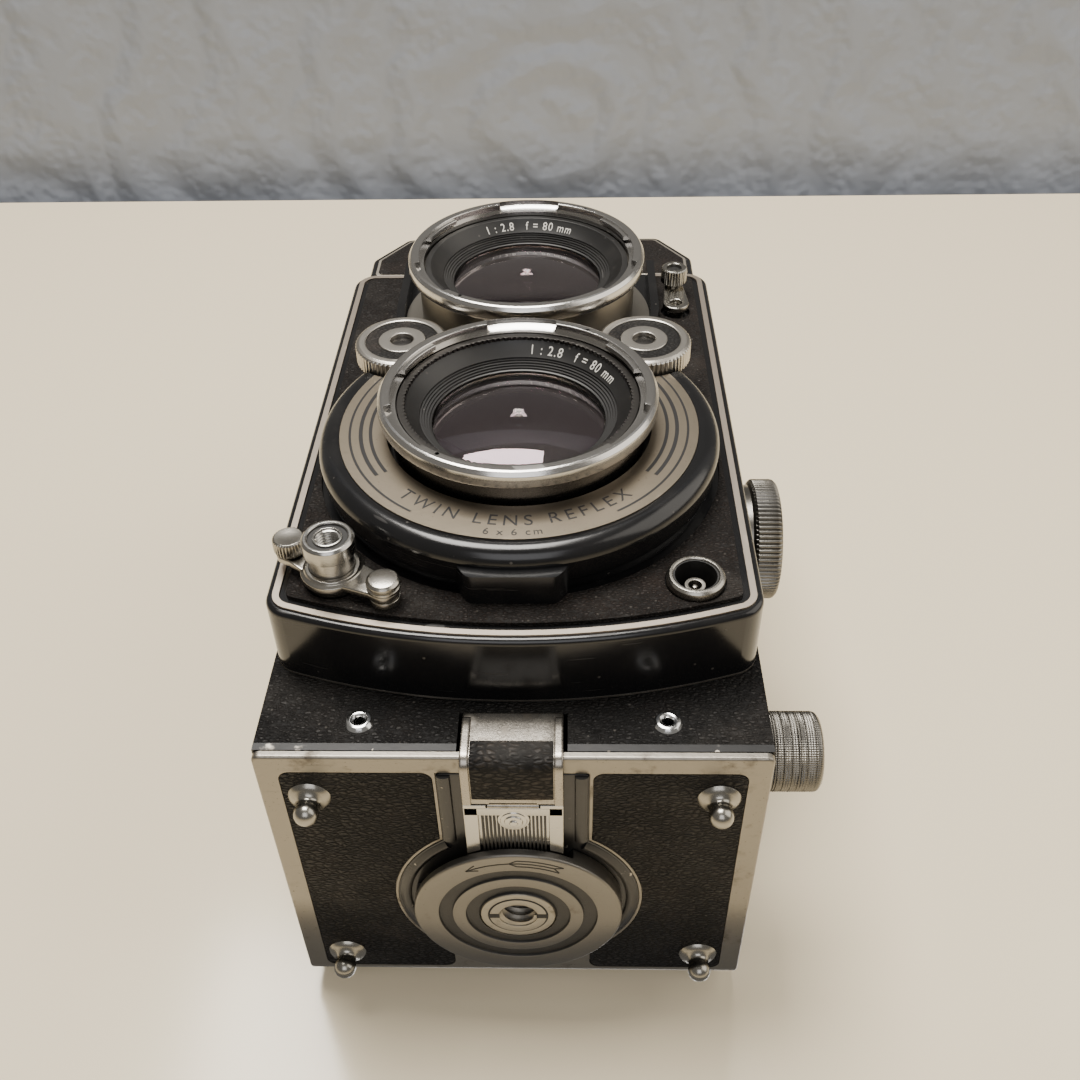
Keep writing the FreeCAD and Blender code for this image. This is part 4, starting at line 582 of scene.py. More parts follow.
fit_on(joined("eyelets", eyelets), "root", "chrome", eyelet_chrome, "flash_bracket_eyelets")

# ========================================================================= strap lugs
# Steel studs, turned, chromed and riveted through the casting's sides. The keyhole clip
# of a neck strap snaps over their heads.
lug_low, lug_high = span("strap_lugs")
lug_y = (lug_low.y + lug_high.y) / 2
lug_z = (lug_low.z + lug_high.z) / 2
skin_x = span("body_leather")[1].x
lug_chrome = metal("lug_chrome", cover=0.2, lathe=("x", (0, lug_y, lug_z)))
lugs = []
for side in (-1, 1):
    head_x = side * lug_high.x
    seat_x = side * (skin_x + 0.25)
    lugs.append(turned("lug", [(0, head_x), (2.6, head_x, 0.5), (3.3, head_x - side * 0.45, 0.3),
        (3.3, head_x - side * 1.0, 0.2), (1.7, head_x - side * 1.5, 0.3), (1.7, seat_x + side * 0.5, 0.4),
        (4.1, seat_x, 0.15), (4.1, seat_x - side * 0.9), (0, seat_x - side * 0.9)], (0, lug_y, lug_z),
        "x", 72))
fit_on(joined("lugs", lugs), "root", "chrome", lug_chrome, "strap_lugs")

# ============================================================ back door, bottom and back
# One aluminium pressing covers the bottom and the back. Its border is bare: worn warm
# grey, stained dark along the edges and pitted where it has lain on tables.
door_metal = metal("door_metal", clean=(0.275, 0.255, 0.22), stain=(0.05, 0.038, 0.027), cover=0.55,
    size=190.0, smooth=0.32, dull=0.6, relief=0.02)
dress("back_door", door_metal)
dress("door_hinge_pin", metal("hinge_steel", clean=(0.45, 0.44, 0.42), cover=0.3, smooth=0.3))

# ================================================================ back door's leather
# Two panels of the same goatskin glued into the bottom and one on the back. Their edges
# are turned in and stand a little proud of the metal.
door_hide = leather("door_hide", depth=0.34, Pebble=1500.0, Wear=0.16)
dress("back_door_leather", door_hide)

# ============================================================== black centre plate
# Black-lacquered keyhole-shaped pressing under the latch, with a rolled ridge on each
# side of the slide and round the lock ring; bare dots show where the lacquer is rubbed.


def slab(name, outline, axis, low, high, edge=0.2, holes=(), steps=3, crease=34.0):
    """A flat plate from closed outlines of (a, b) points in mm, with rounded edges. A third
    number rounds that corner. axis z: a, b are x, y. axis y: x, z. axis x: y, z."""
    data = bpy.data.curves.new(name, "CURVE")
    data.dimensions = "2D"
    data.fill_mode = "BOTH"
    data.extrude = ((high - low) / 2 - edge) * MM
    data.bevel_depth = edge * MM
    data.bevel_resolution = steps
    data.offset = -edge * MM
    for loop in (outline, *holes):
        points = softened(loop, True)
        spline = data.splines.new("POLY")
        spline.points.add(len(points) - 1)
        spline.use_cyclic_u = True
        for spot, point in zip(spline.points, points):
            spot.co = (point.x * MM, point.y * MM, 0, 1)
    maker = bpy.data.objects.new(name, data)
    bpy.context.scene.collection.objects.link(maker)
    mesh = bpy.data.meshes.new_from_object(maker.evaluated_get(bpy.context.evaluated_depsgraph_get()))
    bpy.data.objects.remove(maker)
    bpy.data.curves.remove(data)
    middle = (low + high) / 2 * MM
    turns = {"z": Matrix(), "y": Matrix(((1, 0, 0, 0), (0, 0, -1, 0), (0, 1, 0, 0), (0, 0, 0, 1))),
        "x": Matrix(((0, 0, 1, 0), (1, 0, 0, 0), (0, 1, 0, 0), (0, 0, 0, 1)))}
    shift_by = {"z": (0, 0, middle), "y": (0, middle, 0), "x": (middle, 0, 0)}
    mesh.transform(Matrix.Translation(shift_by[axis]) @ turns[axis])
    shape = bmesh.new()
    shape.from_mesh(mesh)
    bpy.data.meshes.remove(mesh)
    return new_piece(name, shape, crease)


def circle(radius, centre=(0, 0), start=0.0, end=360.0, steps=64):
    """Points on an arc, in degrees; a full turn leaves out its repeated last point."""
    whole = abs(end - start) >= 359.9
    count = steps if whole else steps + 1
    points = []
    for step in range(count):
        angle = math.radians(start + (end - start) * step / steps)
        points.append((centre[0] + radius * math.cos(angle), centre[1] + radius * math.sin(angle)))
    return points


def rubbed_plate(net):
    """Bare specks where the lacquer is rubbed, scattered over the plate."""
    return net.times(net.step(net.noise(520.0, 4.0), 0.685, 0.71), 0.85)


plate_black = enamel("plate_black", colour=(0.012, 0.0115, 0.011), roughness=0.24, dust=0.6, ripple=0.03,
    rubbed=rubbed_plate)
plate_low, plate_high = span("door_centre_plate")
ring_low, ring_high = span("lock_ring")
ring_r = ring_high.x
keyhole_r = plate_high.x
channel = 11.3
skin_z = span("back_door")[0].z
meet = math.degrees(math.asin(channel / keyhole_r))
outline = [(channel, plate_low.y, 0.8)]
outline += circle(keyhole_r, start=meet - 90, end=270 - meet, steps=80)
outline += [(-channel, plate_low.y, 0.8)]
sheet = slab("plate_sheet", outline, "z", skin_z - 0.15, skin_z + 0.5, 0.1, [circle(6.2)])
ridges = [turned("ridge", [(ring_r + 0.7, skin_z + 0.2), (ring_r + 0.7, plate_low.z + 0.35, 0.3),
    (ring_r + 1.5, plate_low.z, 0.8), (keyhole_r - 0.3, skin_z - 0.2, 0.5),
    (keyhole_r - 0.1, skin_z + 0.2)], (0, 0, 0), "z", 120, arc=(math.radians(meet - 90),
    math.radians(270 - meet)))]
for side in (-1, 1):
    inner = 9.1
    top = plate_low.z
    rail = [(side * (channel - 0.1), top + 0.75), (side * (channel - 0.25), top + 0.25),
        (side * (channel - 0.8), top), (side * (inner + 0.7), top), (side * (inner + 0.2), top + 0.2),
        (side * inner, top + 0.75)]
    shape = bmesh.new()
    front = -math.sqrt(keyhole_r ** 2 - channel ** 2) - 0.4
    ends = []
    for y in (plate_low.y + 0.3, front):
        ends.append([shape.verts.new(Vector((x, y, z)) * MM) for x, z in rail])
    for number in range(len(rail)):
        after = (number + 1) % len(rail)
        shape.faces.new([ends[0][number], ends[0][after], ends[1][after], ends[1][number]])
    shape.faces.new(ends[0])
    shape.faces.new(ends[1])
    ridges.append(new_piece("rail", shape, 60.0))
fit_on(joined("centre_plate", [sheet] + ridges), "back_door", "black_enamel", plate_black,
    "door_centre_plate")

# ============================================================================= feet
# Four turned feet riveted through the bottom: a domed flange that flows into a waisted
# pin with a ball end. They keep the leather off the table.
feet_low, feet_high = span("feet")
flange_r = 3.3
foot_x = feet_high.x - flange_r
foot_ys = (feet_low.y + flange_r, feet_high.y - flange_r)
foot_tip = feet_low.z
foot_nickel = metal("foot_nickel", clean=(0.33, 0.315, 0.28), stain=(0.08, 0.062, 0.045), cover=0.4,
    size=420.0, smooth=0.2, dull=0.45)
feet = []
for side in (-1, 1):
    for y in foot_ys:
        feet.append(turned("foot", [(0, foot_tip), (0.75, foot_tip + 0.14), (1.35, foot_tip + 0.5),
            (1.75, foot_tip + 1.05), (1.9, foot_tip + 1.7), (1.86, foot_tip + 2.2), (1.7, foot_tip + 2.7),
            (1.64, foot_tip + 3.1), (1.72, foot_tip + 3.5), (2.0, foot_tip + 3.85),
            (2.55, foot_tip + 4.14), (3.0, foot_tip + 4.42), (3.28, skin_z - 0.05), (3.28, skin_z + 0.1),
            (0, skin_z + 0.1)], (side * foot_x, y, 0), "z", 56, crease=50.0))
fit_on(joined("feet_piece", feet), "back_door", "nickel", foot_nickel, "feet")

# ===================================================================== tripod socket
# Turned aluminium boss riveted through the door. A slotted 3/8 inch steel bush is screwed
# into it and tapped 1/4 inch inside, so it takes both kinds of tripod screw.
boss_metal = metal("boss_metal", clean=(0.33, 0.31, 0.27), stain=(0.06, 0.045, 0.03), cover=0.5,
    smooth=0.34, dull=0.55, lathe=("z", (0, 0, 0)), bands=((4.62, 4.92),))
socket_top = span("tripod_socket")[1].z
hole_r = 2.55
bush_r = 4.7625
boss = turned("boss", [(bush_r, 0.12, 0.1), (6.0, 0.1, 0.25), (6.2, 0.4, 0.2), (6.2, socket_top),
    (bush_r, socket_top)], (0, 0, 0), "z", 96)
bush = turned("bush", [(hole_r + 0.6, 0.02, 0.1), (bush_r - 0.12, 0.02, 0.1), (bush_r - 0.02, 0.2),
    (bush_r - 0.02, 5.4), (hole_r + 0.62, 5.4)], (0, 0, 0), "z", 96)


def thread(name, centre, axis, inner, outer, start, end, pitch, steps=28):
    """A V-thread cut inside a hole: one closed ribbon that winds along the axis."""
    shape = bmesh.new()
    turns_in = (end - start) / pitch
    count = int(turns_in * steps)
    rows = []
    for step in range(count + 1):
        angle = 2 * math.pi * step / steps
        along = start + pitch * step / steps
        row = []
        for radius, offset in ((outer, -0.5 * pitch), (inner, -0.08 * pitch), (inner, 0.08 * pitch),
                (outer, 0.5 * pitch)):
            height = min(max(along + offset, start), end)
            a = radius * math.cos(angle)
            b = radius * math.sin(angle)
            spot = {"x": (height, centre[1] + a, centre[2] + b), "y": (centre[0] + a, height,
                centre[2] + b), "z": (centre[0] + a, centre[1] + b, height)}[axis]
            row.append(shape.verts.new(Vector(spot) * MM))
        rows.append(row)
    for first, second in zip(rows, rows[1:]):
        for number in range(4):
            after = (number + 1) % 4
            shape.faces.new([first[number], first[after], second[after], second[number]])
    shape.faces.new(rows[0])
    shape.faces.new(rows[-1])
    return new_piece(name, shape, 25.0)


tapped = thread("tapped", (0, 0, 0), "z", hole_r, hole_r + 0.62, 0.2, 5.3, 1.27)
# The bush's two slots are not cut: thin black sheets on its face stand for them, as painted shade.
slots = []
for side in (-1, 1):
    low = min(side * 3.0, side * 4.75)
    slots.append(slab("slot", [(low, -0.6), (low + 1.75, -0.6), (low + 1.75, 0.6), (low, 0.6)], "z", 0.0,
        0.09, 0.02))
# This black is painted shade in the bush's slots, and also the black of the lock ring's arrow.
slot_shade_and_arrow_black = enamel("slot_shade_and_arrow_black", colour=(0.006, 0.006, 0.006), roughness=0.6, dust=0.2)
fit_on(joined("socket_piece", [boss, bush, tapped]), "back_door", "grey_aluminium", boss_metal,
    "tripod_socket")
fit_on(joined("bush_slot_shades", slots), "back_door", "black_matt", slot_shade_and_arrow_black)

# ========================================================================= lock ring
# Turned aluminium disc with three black-filled grooves, worn satin. Its knurl-free rim
# has a skirt with a window that the slide runs in, and an arrow shows the way to turn.
ring_bands = ((0.372 * ring_r, 0.503 * ring_r), (0.628 * ring_r, 0.763 * ring_r))
ring_metal = metal("ring_metal", clean=(0.2, 0.19, 0.172), stain=(0.09, 0.07, 0.05), cover=0.42,
    size=160.0, smooth=0.3, dull=0.52, relief=0.012, lathe=("z", (0, 0, 0)), bands=ring_bands)
face_z = ring_low.z
disc = turned("disc", [(6.25, face_z + 0.35), (6.25, face_z + 0.05, 0.05),
    (ring_bands[0][0] - 0.02, face_z), (ring_bands[0][0] + 0.1, face_z + 0.4),
    (ring_bands[0][1] - 0.1, face_z + 0.4), (ring_bands[0][1] + 0.02, face_z, 0.05),
    (ring_bands[1][0] - 0.02, face_z, 0.05), (ring_bands[1][0] + 0.1, face_z + 0.4),
    (ring_bands[1][1] - 0.1, face_z + 0.4), (ring_bands[1][1] + 0.02, face_z, 0.05),
    (ring_r - 0.02, face_z, 0.45), (ring_r, ring_low.z + 1.3), (6.25, ring_low.z + 1.3)], (0, 0, 0), "z",
    180)
skirt = turned("skirt", [(ring_r - 1.3, ring_low.z + 1.1), (ring_r, ring_low.z + 1.1),
    (ring_r, ring_high.z, 0.2), (ring_r - 1.3, ring_high.z)], (0, 0, 0), "z", 120,
    arc=(math.radians(-58), math.radians(196)))
arrow_r = 14.8
arrow_strokes = [((-8.2, 0), (-1.0, 0)), ((-8.2, 0), (-6.3, 0.75)), ((-8.2, 0), (-6.3, -0.75)),
    ((-1.0, 0), (0.2, 0.75)), ((-1.0, 0), (0.2, -0.75)), ((0.2, 0.75), (7.4, 0.75)),
    ((0.2, -0.75), (7.4, -0.75)), ((-1.0, 0), (6.2, 0)), ((7.4, 0.75), (6.2, 0)),
    ((7.4, -0.75), (6.2, 0))]
arrow = []
for first, last in arrow_strokes:
    here = Vector(first)
    there = Vector(last)
    across = (there - here).orthogonal().normalized() * 0.11
    loop = []
    shares = (0, 0.25, 0.5, 0.75, 1)
    for along, side in [(share, -1) for share in shares] + [(share, 1) for share in reversed(shares)]:
        point = here.lerp(there, along) + across * side
        angle = point.x / arrow_r
        radius = arrow_r - point.y
        loop.append((radius * math.sin(angle), -radius * math.cos(angle)))
    arrow.append(slab("arrow_part", loop, "z", face_z - 0.04, face_z + 0.04, 0.01))
fit_on(joined("ring_piece", [disc, skirt]), "lock_ring", "grey_aluminium", ring_metal, "lock_ring")
fit_on(joined("ring_arrow", arrow), "lock_ring", "black_matt", slot_shade_and_arrow_black)

# ======================================================================= latch slide
# Chromed slide in the channel, filled with black ribs for the thumb. A stepped rivet
# holds it to the spring underneath; the hook plate is hinged to its front edge.
slide_high = span("latch_slide")[1]
slide_chrome = metal("slide_chrome", clean=(0.5, 0.485, 0.45), stain=(0.13, 0.1, 0.07), cover=0.25,
    smooth=0.16, dull=0.38)
slide_z = 1.55
joint_y = -27.1
joint_z = 2.075
slide_half = slide_high.x
bed = slab("bed", [(-slide_half + 0.03, joint_y + 0.12, 0.1), (slide_half - 0.03, joint_y + 0.12, 0.1),
    (slide_half - 0.03, slide_high.y), (-slide_half + 0.03, slide_high.y)], "z", slide_z + 0.46,
    slide_high.z - 0.02, 0.1)
rims = []
for side in (-1, 1):
    low = min(side * 5.3, side * (slide_half - 0.03))
    rims.append(slab("rim", [(low, joint_y + 0.12, 0.1), (low + slide_half - 5.33, joint_y + 0.12, 0.1),
        (low + slide_half - 5.33, slide_high.y), (low, slide_high.y)], "z", slide_z, slide_z + 0.6, 0.12))
rims.append(slab("rim", [(-slide_half + 0.1, joint_y + 0.12, 0.1), (slide_half - 0.1, joint_y + 0.12,
    0.1), (slide_half - 0.1, joint_y + 1.9), (-slide_half + 0.1, joint_y + 1.9)], "z", slide_z,
    slide_z + 0.6, 0.12))
rivet_y = -24.05
rims.append(turned("rivet", [(0, slide_z - 0.74), (0.55, slide_z - 0.74, 0.15),
    (0.68, slide_z - 0.46, 0.05), (1.3, slide_z - 0.44, 0.1), (1.42, slide_z - 0.2, 0.05),
    (1.95, slide_z - 0.18, 0.1), (2.05, slide_z - 0.02, 0.05), (2.4, slide_z - 0.01, 0.1),
    (2.4, slide_z + 0.4), (0, slide_z + 0.4)], (0, rivet_y, 0), "z", 72))
for side in (-1, 1):
    low = min(side * 4.05, side * (slide_half - 0.03))
    rims.append(turned("knuckle", [(0, low), (0.5, low, 0.06), (0.5, low + slide_half - 4.08, 0.06),
        (0, low + slide_half - 4.08)], (0, joint_y, joint_z), "x", 24))
    rims.append(slab("knuckle_web", [(low, joint_y - 0.5), (low + slide_half - 4.08, joint_y - 0.5),
        (low + slide_half - 4.08, joint_y + 1.2), (low, joint_y + 1.2)], "z", slide_z + 0.03,
        slide_z + 0.9, 0.12))
fit_on(joined("slide_piece", [bed] + rims), "latch_slide", "chrome", slide_chrome, "latch_slide")
ribs = []
for number in range(17):
    x = -5.0 + 10.0 * (number + 0.5) / 17
    ribs.append(slab("rib", [(x - 0.17, joint_y + 2.0), (x + 0.17, joint_y + 2.0),
        (x + 0.17, slide_high.y - 0.2), (x - 0.17, slide_high.y - 0.2)], "z", slide_z + 0.05,
        slide_z + 0.5, 0.1, steps=2))
rib_black = enamel("rib_black", colour=(0.014, 0.013, 0.012), roughness=0.32, dust=0.7)
fit_on(joined("ribs", ribs), "latch_slide", "black_matt", rib_black)

# ======================================================================== latch hook
# Nickelled plate bent up over the front edge of the bottom. Its raised side rails hold
# a pebbled insert; the lip above the insert is bare, stained and rubbed bright.
hook_low, hook_high = span("latch_hook")
hook_metal = metal("hook_metal", clean=(0.34, 0.315, 0.275), stain=(0.07, 0.052, 0.036), cover=0.55,
    size=260.0, smooth=0.22, dull=0.5, relief=0.015)
hook_half = hook_high.x
hook_y = hook_low.y
base_z = hook_low.z


def swept(name, path, half, thick, crease=40.0, crown=0.0):
    """A strip along path, (y, z) points in mm on its outer face, x from -half to half. It
    is thick on the inner side; crown raises its middle. half may be (low x, high x)."""
    low_x, high_x = half if isinstance(half, tuple) else (-half, half)
    edge = min(0.25, thick * 0.45)
    shape = bmesh.new()
    rows = []
    for number, point in enumerate(path):
        here = Vector(point)
        before = Vector(path[max(number - 1, 0)])
        after = Vector(path[min(number + 1, len(path) - 1)])
        run = (after - before).normalized()
        inward = Vector((run.y, -run.x))
        section = [(low_x, thick), (low_x, edge), (low_x + 0.3 * edge, 0.3 * edge), (low_x + edge, 0)]
        for share in (0.2, 0.4, 0.6, 0.8):
            lift = -crown * 4 * share * (1 - share)
            section.append((low_x + edge + (high_x - low_x - 2 * edge) * share, lift))
        section += [(high_x - edge, 0), (high_x - 0.3 * edge, 0.3 * edge), (high_x, edge),
            (high_x, thick)]
        row = []
        for x, depth in section:
            spot = here + inward * depth
            row.append(shape.verts.new(Vector((x, spot.x, spot.y)) * MM))
        rows.append(row)
    count = len(rows[0])
    for first, second in zip(rows, rows[1:]):
        for number in range(count):
            after = (number + 1) % count
            shape.faces.new([first[number], first[after], second[after], second[number]])
    shape.faces.new(rows[0])
    shape.faces.new(rows[-1])
    return new_piece(name, shape, crease)


def bent_path(low_y, out_y, bottom_z, top_z, radius):
    """From the back of the plate's foot, round the bend and up, as (y, z) points."""
    points = [(low_y, bottom_z), ((low_y + out_y) / 2, bottom_z)]
    for step in range(9):
        angle = math.radians(90 * step / 8)
        points.append((out_y + radius - radius * math.sin(angle),
            bottom_z + radius - radius * math.cos(angle)))
    points += [(out_y, bottom_z + radius + (top_z - bottom_z - radius) * share) for share in (0.25, 0.5,
        0.75, 1.0)]
    return points


sheet_path = bent_path(joint_y - 0.65, hook_y + 0.3, base_z + 0.3, hook_high.z - 0.5, 1.9)
sheet_path += [(hook_y + 0.38, hook_high.z - 0.25), (hook_y + 0.62, hook_high.z - 0.04)]
hook_sheet = swept("hook_sheet", sheet_path, hook_half - 0.02, 0.75)
rail_pieces = [hook_sheet]
tongue_path = [(joint_y - 0.1, base_z + 0.3), (joint_y - 0.5, base_z + 0.3),
    (joint_y - 0.9, base_z + 0.3)]
rail_pieces.append(swept("hook_tongue", tongue_path, 3.8, 0.75))
rail_path = bent_path(joint_y - 0.65, hook_y + 0.01, base_z + 0.01, hook_high.z - 1.6, 2.2)
rail_path += [(hook_y + 0.1, hook_high.z - 1.3), (hook_y + 0.32, hook_high.z - 1.1)]
for side in (-1, 1):
    pair = sorted((side * 6.15, side * (hook_half - 0.01)))
    rail_pieces.append(swept("hook_rail", rail_path, tuple(pair), 0.5))
rail_pieces.append(turned("hook_knuckle", [(0, -3.85), (0.5, -3.85, 0.06), (0.5, 3.85, 0.06), (0, 3.85)],
    (0, joint_y, joint_z), "x", 24))
fit_on(joined("hook_piece", rail_pieces), "latch_hook", "nickel", hook_metal, "latch_hook")
insert_path = bent_path(-29.1, hook_y + 0.02, base_z + 0.02, 5.7, 2.1)
insert_path[0] = (-29.1, base_z + 0.12)
insert = swept("hook_insert", insert_path, 6.05, 0.4, crown=0.05)
hook_hide = leather("hook_hide", Pebble=1300.0, Wear=0.3, Rubbed=(0.1, 0.075, 0.055))
fit_on(insert, "latch_hook", "black_leather", hook_hide)

# ==================================================================== lens standard
# Die-cast front that carries both lenses, in gloss black enamel. Its rear edge is rubbed
# to a thin bright line where it runs on the sleeve. The sleeve and pillars guide it.
shell_back = span("standard_shell")[1].y


def rubbed_edge(net):
    """Bare metal in a thin broken line along the shell's rear edge."""
    depth = net.node("SeparateXYZ", Vector=net.place()).outputs[1]
    edge = net.step(depth, (shell_back - 0.45) * MM, (shell_back - 0.25) * MM)
    return net.times(edge, net.step(net.noise(60.0, 3.0), 0.3, 0.5, 0.35, 1.0))


dress("standard_shell", enamel("shell_enamel", roughness=0.13, ripple=0.01, rubbed=rubbed_edge))
sleeve_black = enamel("sleeve_black", colour=(0.012, 0.012, 0.012), roughness=0.5, dust=0.5)
dress("standard_sleeve", sleeve_black)
dress("guide_pillars", metal("pillar_steel", clean=(0.4, 0.39, 0.37), cover=0.2, smooth=0.22))

# ================================================================= trim of the front
# Nickel-silver wire, bent to the outline of the front plate and inlaid round its leather.
# It was polished and is now dulled and nicked with use.
dress("panel_trim", metal("trim_wire", clean=(0.46, 0.40, 0.335), stain=(0.15, 0.105, 0.08), cover=0.35,
    size=300.0, smooth=0.36, dull=0.55))

# ============================================================== front plate's leather
# Thin fine-grained leather glued to the front plate inside the wire. It is cut out round
# every fitting and has aged from black to a dark brown.
# Its crease colour is the painted shade for the valleys of the grain.
panel_hide = leather("panel_hide", depth=0.22, Pebble=2300.0, Wear=0.3, Skin=(0.0095, 0.0065, 0.005),
    Crease=(0.004, 0.003, 0.0023), Rubbed=(0.035, 0.023, 0.017))
dress("panel_leather", panel_hide)

# ====================================================== shutter cowl and its face plate
# Round enamelled cowl over the shutter. A satin silver plate covers its floor, with
# black arcs of three widths that run round the taking lens.
dress("shutter_cowl", enamel("cowl_enamel", roughness=0.14, dust=0.3, ripple=0.01))
low, high = span("taking_bayonet_ring")
taking_z = (low.z + high.z) / 2
low, high = span("viewing_bayonet_ring")
viewing_z = (low.z + high.z) / 2
material, net, shader = finish("face_silver")
from_axis = net.vector("SUBTRACT", net.place(), Vector((0, 0, taking_z)) * MM)
parts = net.node("SeparateXYZ", Vector=from_axis).outputs
flat_place = net.vector("MULTIPLY", from_axis, Vector((1, 0, 1)))
radius = net.vector("LENGTH", flat_place)
fall = net.math("DIVIDE", net.times(parts[2], -1.0), radius)
arcs = None
for middle, half, end in ((27.9, 0.2, 0.83), (26.1, 0.32, 0.55), (24.5, 0.28, 0.55)):
    away = net.math("ABSOLUTE", net.minus(radius, middle * MM))
    line = net.times(net.step(away, (half + 0.04) * MM, (half - 0.04) * MM),
        net.step(fall, end + 0.004, end - 0.004))
    arcs = line if arcs is None else net.most(arcs, line)
grime = net.group("grime", Clean=(0.25, 0.215, 0.165), Stain=(0.12, 0.09, 0.06), Cover=0.35, Size=140.0,
    Smooth=0.36, Dull=0.5)
net.feed(shader.inputs["Base Color"], net.blend(arcs, grime["Colour"], (0.012, 0.011, 0.011)))
net.feed(shader.inputs["Metallic"], net.minus(1.0, arcs))
net.feed(shader.inputs["Roughness"], grime["Roughness"])
bump(net, shader, net.minus(grime["Height"], arcs), 0.015)
dress("shutter_face_plate", material)

# ========================================================= shutter housing and blades
# Blackened case behind the cowl, with five thin spring-steel blades; hidden behind the
# lens when the shutter is closed.
dress("shutter_housing", sleeve_black)
dress("shutter_blades", metal("blade_steel", clean=(0.12, 0.12, 0.125), stain=(0.04, 0.04, 0.04),
    smooth=0.3))

# ============================================ wheels for the aperture and shutter speed
# Nickelled wheels between the lenses, milled on the rim, with an inlaid leather ring, a
# turned inner ring and a dark screw in the centre.


def milled(count, depth, above):
    """Straight flutes of that count and depth, in mm, on radii above a limit."""
    def change(radius, along, angle):
        if radius < above:
            return radius
        return radius - depth * (0.5 + 0.5 * math.cos(count * angle)) ** 2
    return change


wheel_hide = leather("wheel_hide", depth=0.1, Pebble=2200.0, Wear=0.35)
screw_black = metal("screw_black", clean=(0.10, 0.095, 0.09), stain=(0.03, 0.028, 0.025), cover=0.3,
    smooth=0.25)
for node in ("aperture_wheel", "shutter_speed_wheel"):
    low, high = span(node)
    x = (low.x + high.x) / 2
    z = (low.z + high.z) / 2
    r = (high.x - low.x) / 2
    face = low.y
    wheel_metal = metal(node + "_metal", clean=(0.5, 0.475, 0.43), stain=(0.12, 0.09, 0.065), cover=0.34,
        size=320.0, smooth=0.22, dull=0.48, lathe=("y", (x, 0, z)))
    rim = turned(node + "_rim", [(6.5, face + 0.5), (6.5, face + 0.1, 0.1), (6.7, face, 0.1),
        (r - 0.75, face, 0.2), (r - 0.3, face + 0.25, 0.1), (r, face + 0.55, 0.1), (r, face + 1.6),
        (r, face + 2.8), (r, face + 3.5, 0.1), (r - 0.4, face + 4.0, 0.1), (1.6, face + 4.0),
        (1.6, face + 5.0), (0, face + 5.0), (0, face + 0.9), (2.05, face + 0.9), (2.05, face + 0.1, 0.1),
        (2.2, face, 0.05), (4.05, face, 0.05), (4.2, face + 0.1, 0.1), (4.2, face + 0.5)], (x, 0, z), "y",
        300, milled(60, 0.28, r - 0.25), crease=40.0)
    inlay = turned(node + "_inlay", [(4.2, face + 0.6), (4.2, face + 0.2, 0.1), (5.3, face + 0.1),
        (6.5, face + 0.2, 0.1), (6.5, face + 0.6)], (x, 0, z), "y", 96)
    centre = turned(node + "_screw", [(0, face + 0.55), (1.3, face + 0.6), (1.9, face + 0.75, 0.1),
        (2.04, face + 0.8), (2.04, face + 1.0), (0, face + 1.0)], (x, 0, z), "y", 64)
    fit_on(rim, node, "wheel_metal", wheel_metal, node)
    fit_on(inlay, node, "black_leather", wheel_hide)
    fit_on(centre, node, "black_matt", screw_black)

# ====================================================================== lens mounts
# Chromed bayonet rings with three run-in slots, serrated retaining ring, black cones
# with white engraving, and coated glasses that reflect brown and violet.


def slotted(slots, half, inner, outer, front):
    """Opens a ring's inner lip to the outer radius over each slot, angles in degrees."""
    def change(radius, along, angle):
        if along > front or radius > inner + 0.4:
            return radius
        degrees = math.degrees(angle) % 360
        near = min(abs((degrees - slot + 180) % 360 - 180) for slot in slots)
        return outer if near < half else radius
    return change


def serrated(count, depth, below):
    """Cuts square notches of that depth into radii below a limit."""
    def change(radius, along, angle):
        if radius > below:
            return radius
        return radius + (depth if math.sin(count * angle) > 0.2 else 0.0)
    return change


def lettering(name, words, size, radius, middle, centre, low, high, tilt=0.0, spread=1.0, upright=1):
    """Raised words on a circle about the Y axis, read from the front. middle is the angle of
    their middle in degrees; tilt is a cone's depth in mm for each mm of radius. upright -1
    turns the letters' tops to the centre."""
    data = bpy.data.curves.new(name, "FONT")
    data.body = words
    data.size = size * MM
    data.align_x = "CENTER"
    data.space_character = spread
    data.extrude = (high - low) / 2 * MM
    maker = bpy.data.objects.new(name, data)
    bpy.context.scene.collection.objects.link(maker)
    mesh = bpy.data.meshes.new_from_object(maker.evaluated_get(bpy.context.evaluated_depsgraph_get()))
    bpy.data.objects.remove(maker)
    bpy.data.curves.remove(data)
    shape = bmesh.new()
    shape.from_mesh(mesh)
    bpy.data.meshes.remove(mesh)
    for vert in shape.verts:
        x, y, depth = vert.co / MM
        angle = math.radians(middle) - upright * x / radius
        r = radius + upright * y
        vert.co = Vector((centre[0] + r * math.cos(angle), (low + high) / 2 - depth - upright * y * tilt,
            centre[2] + r * math.sin(angle))) * MM
    return new_piece(name, shape, 20.0)


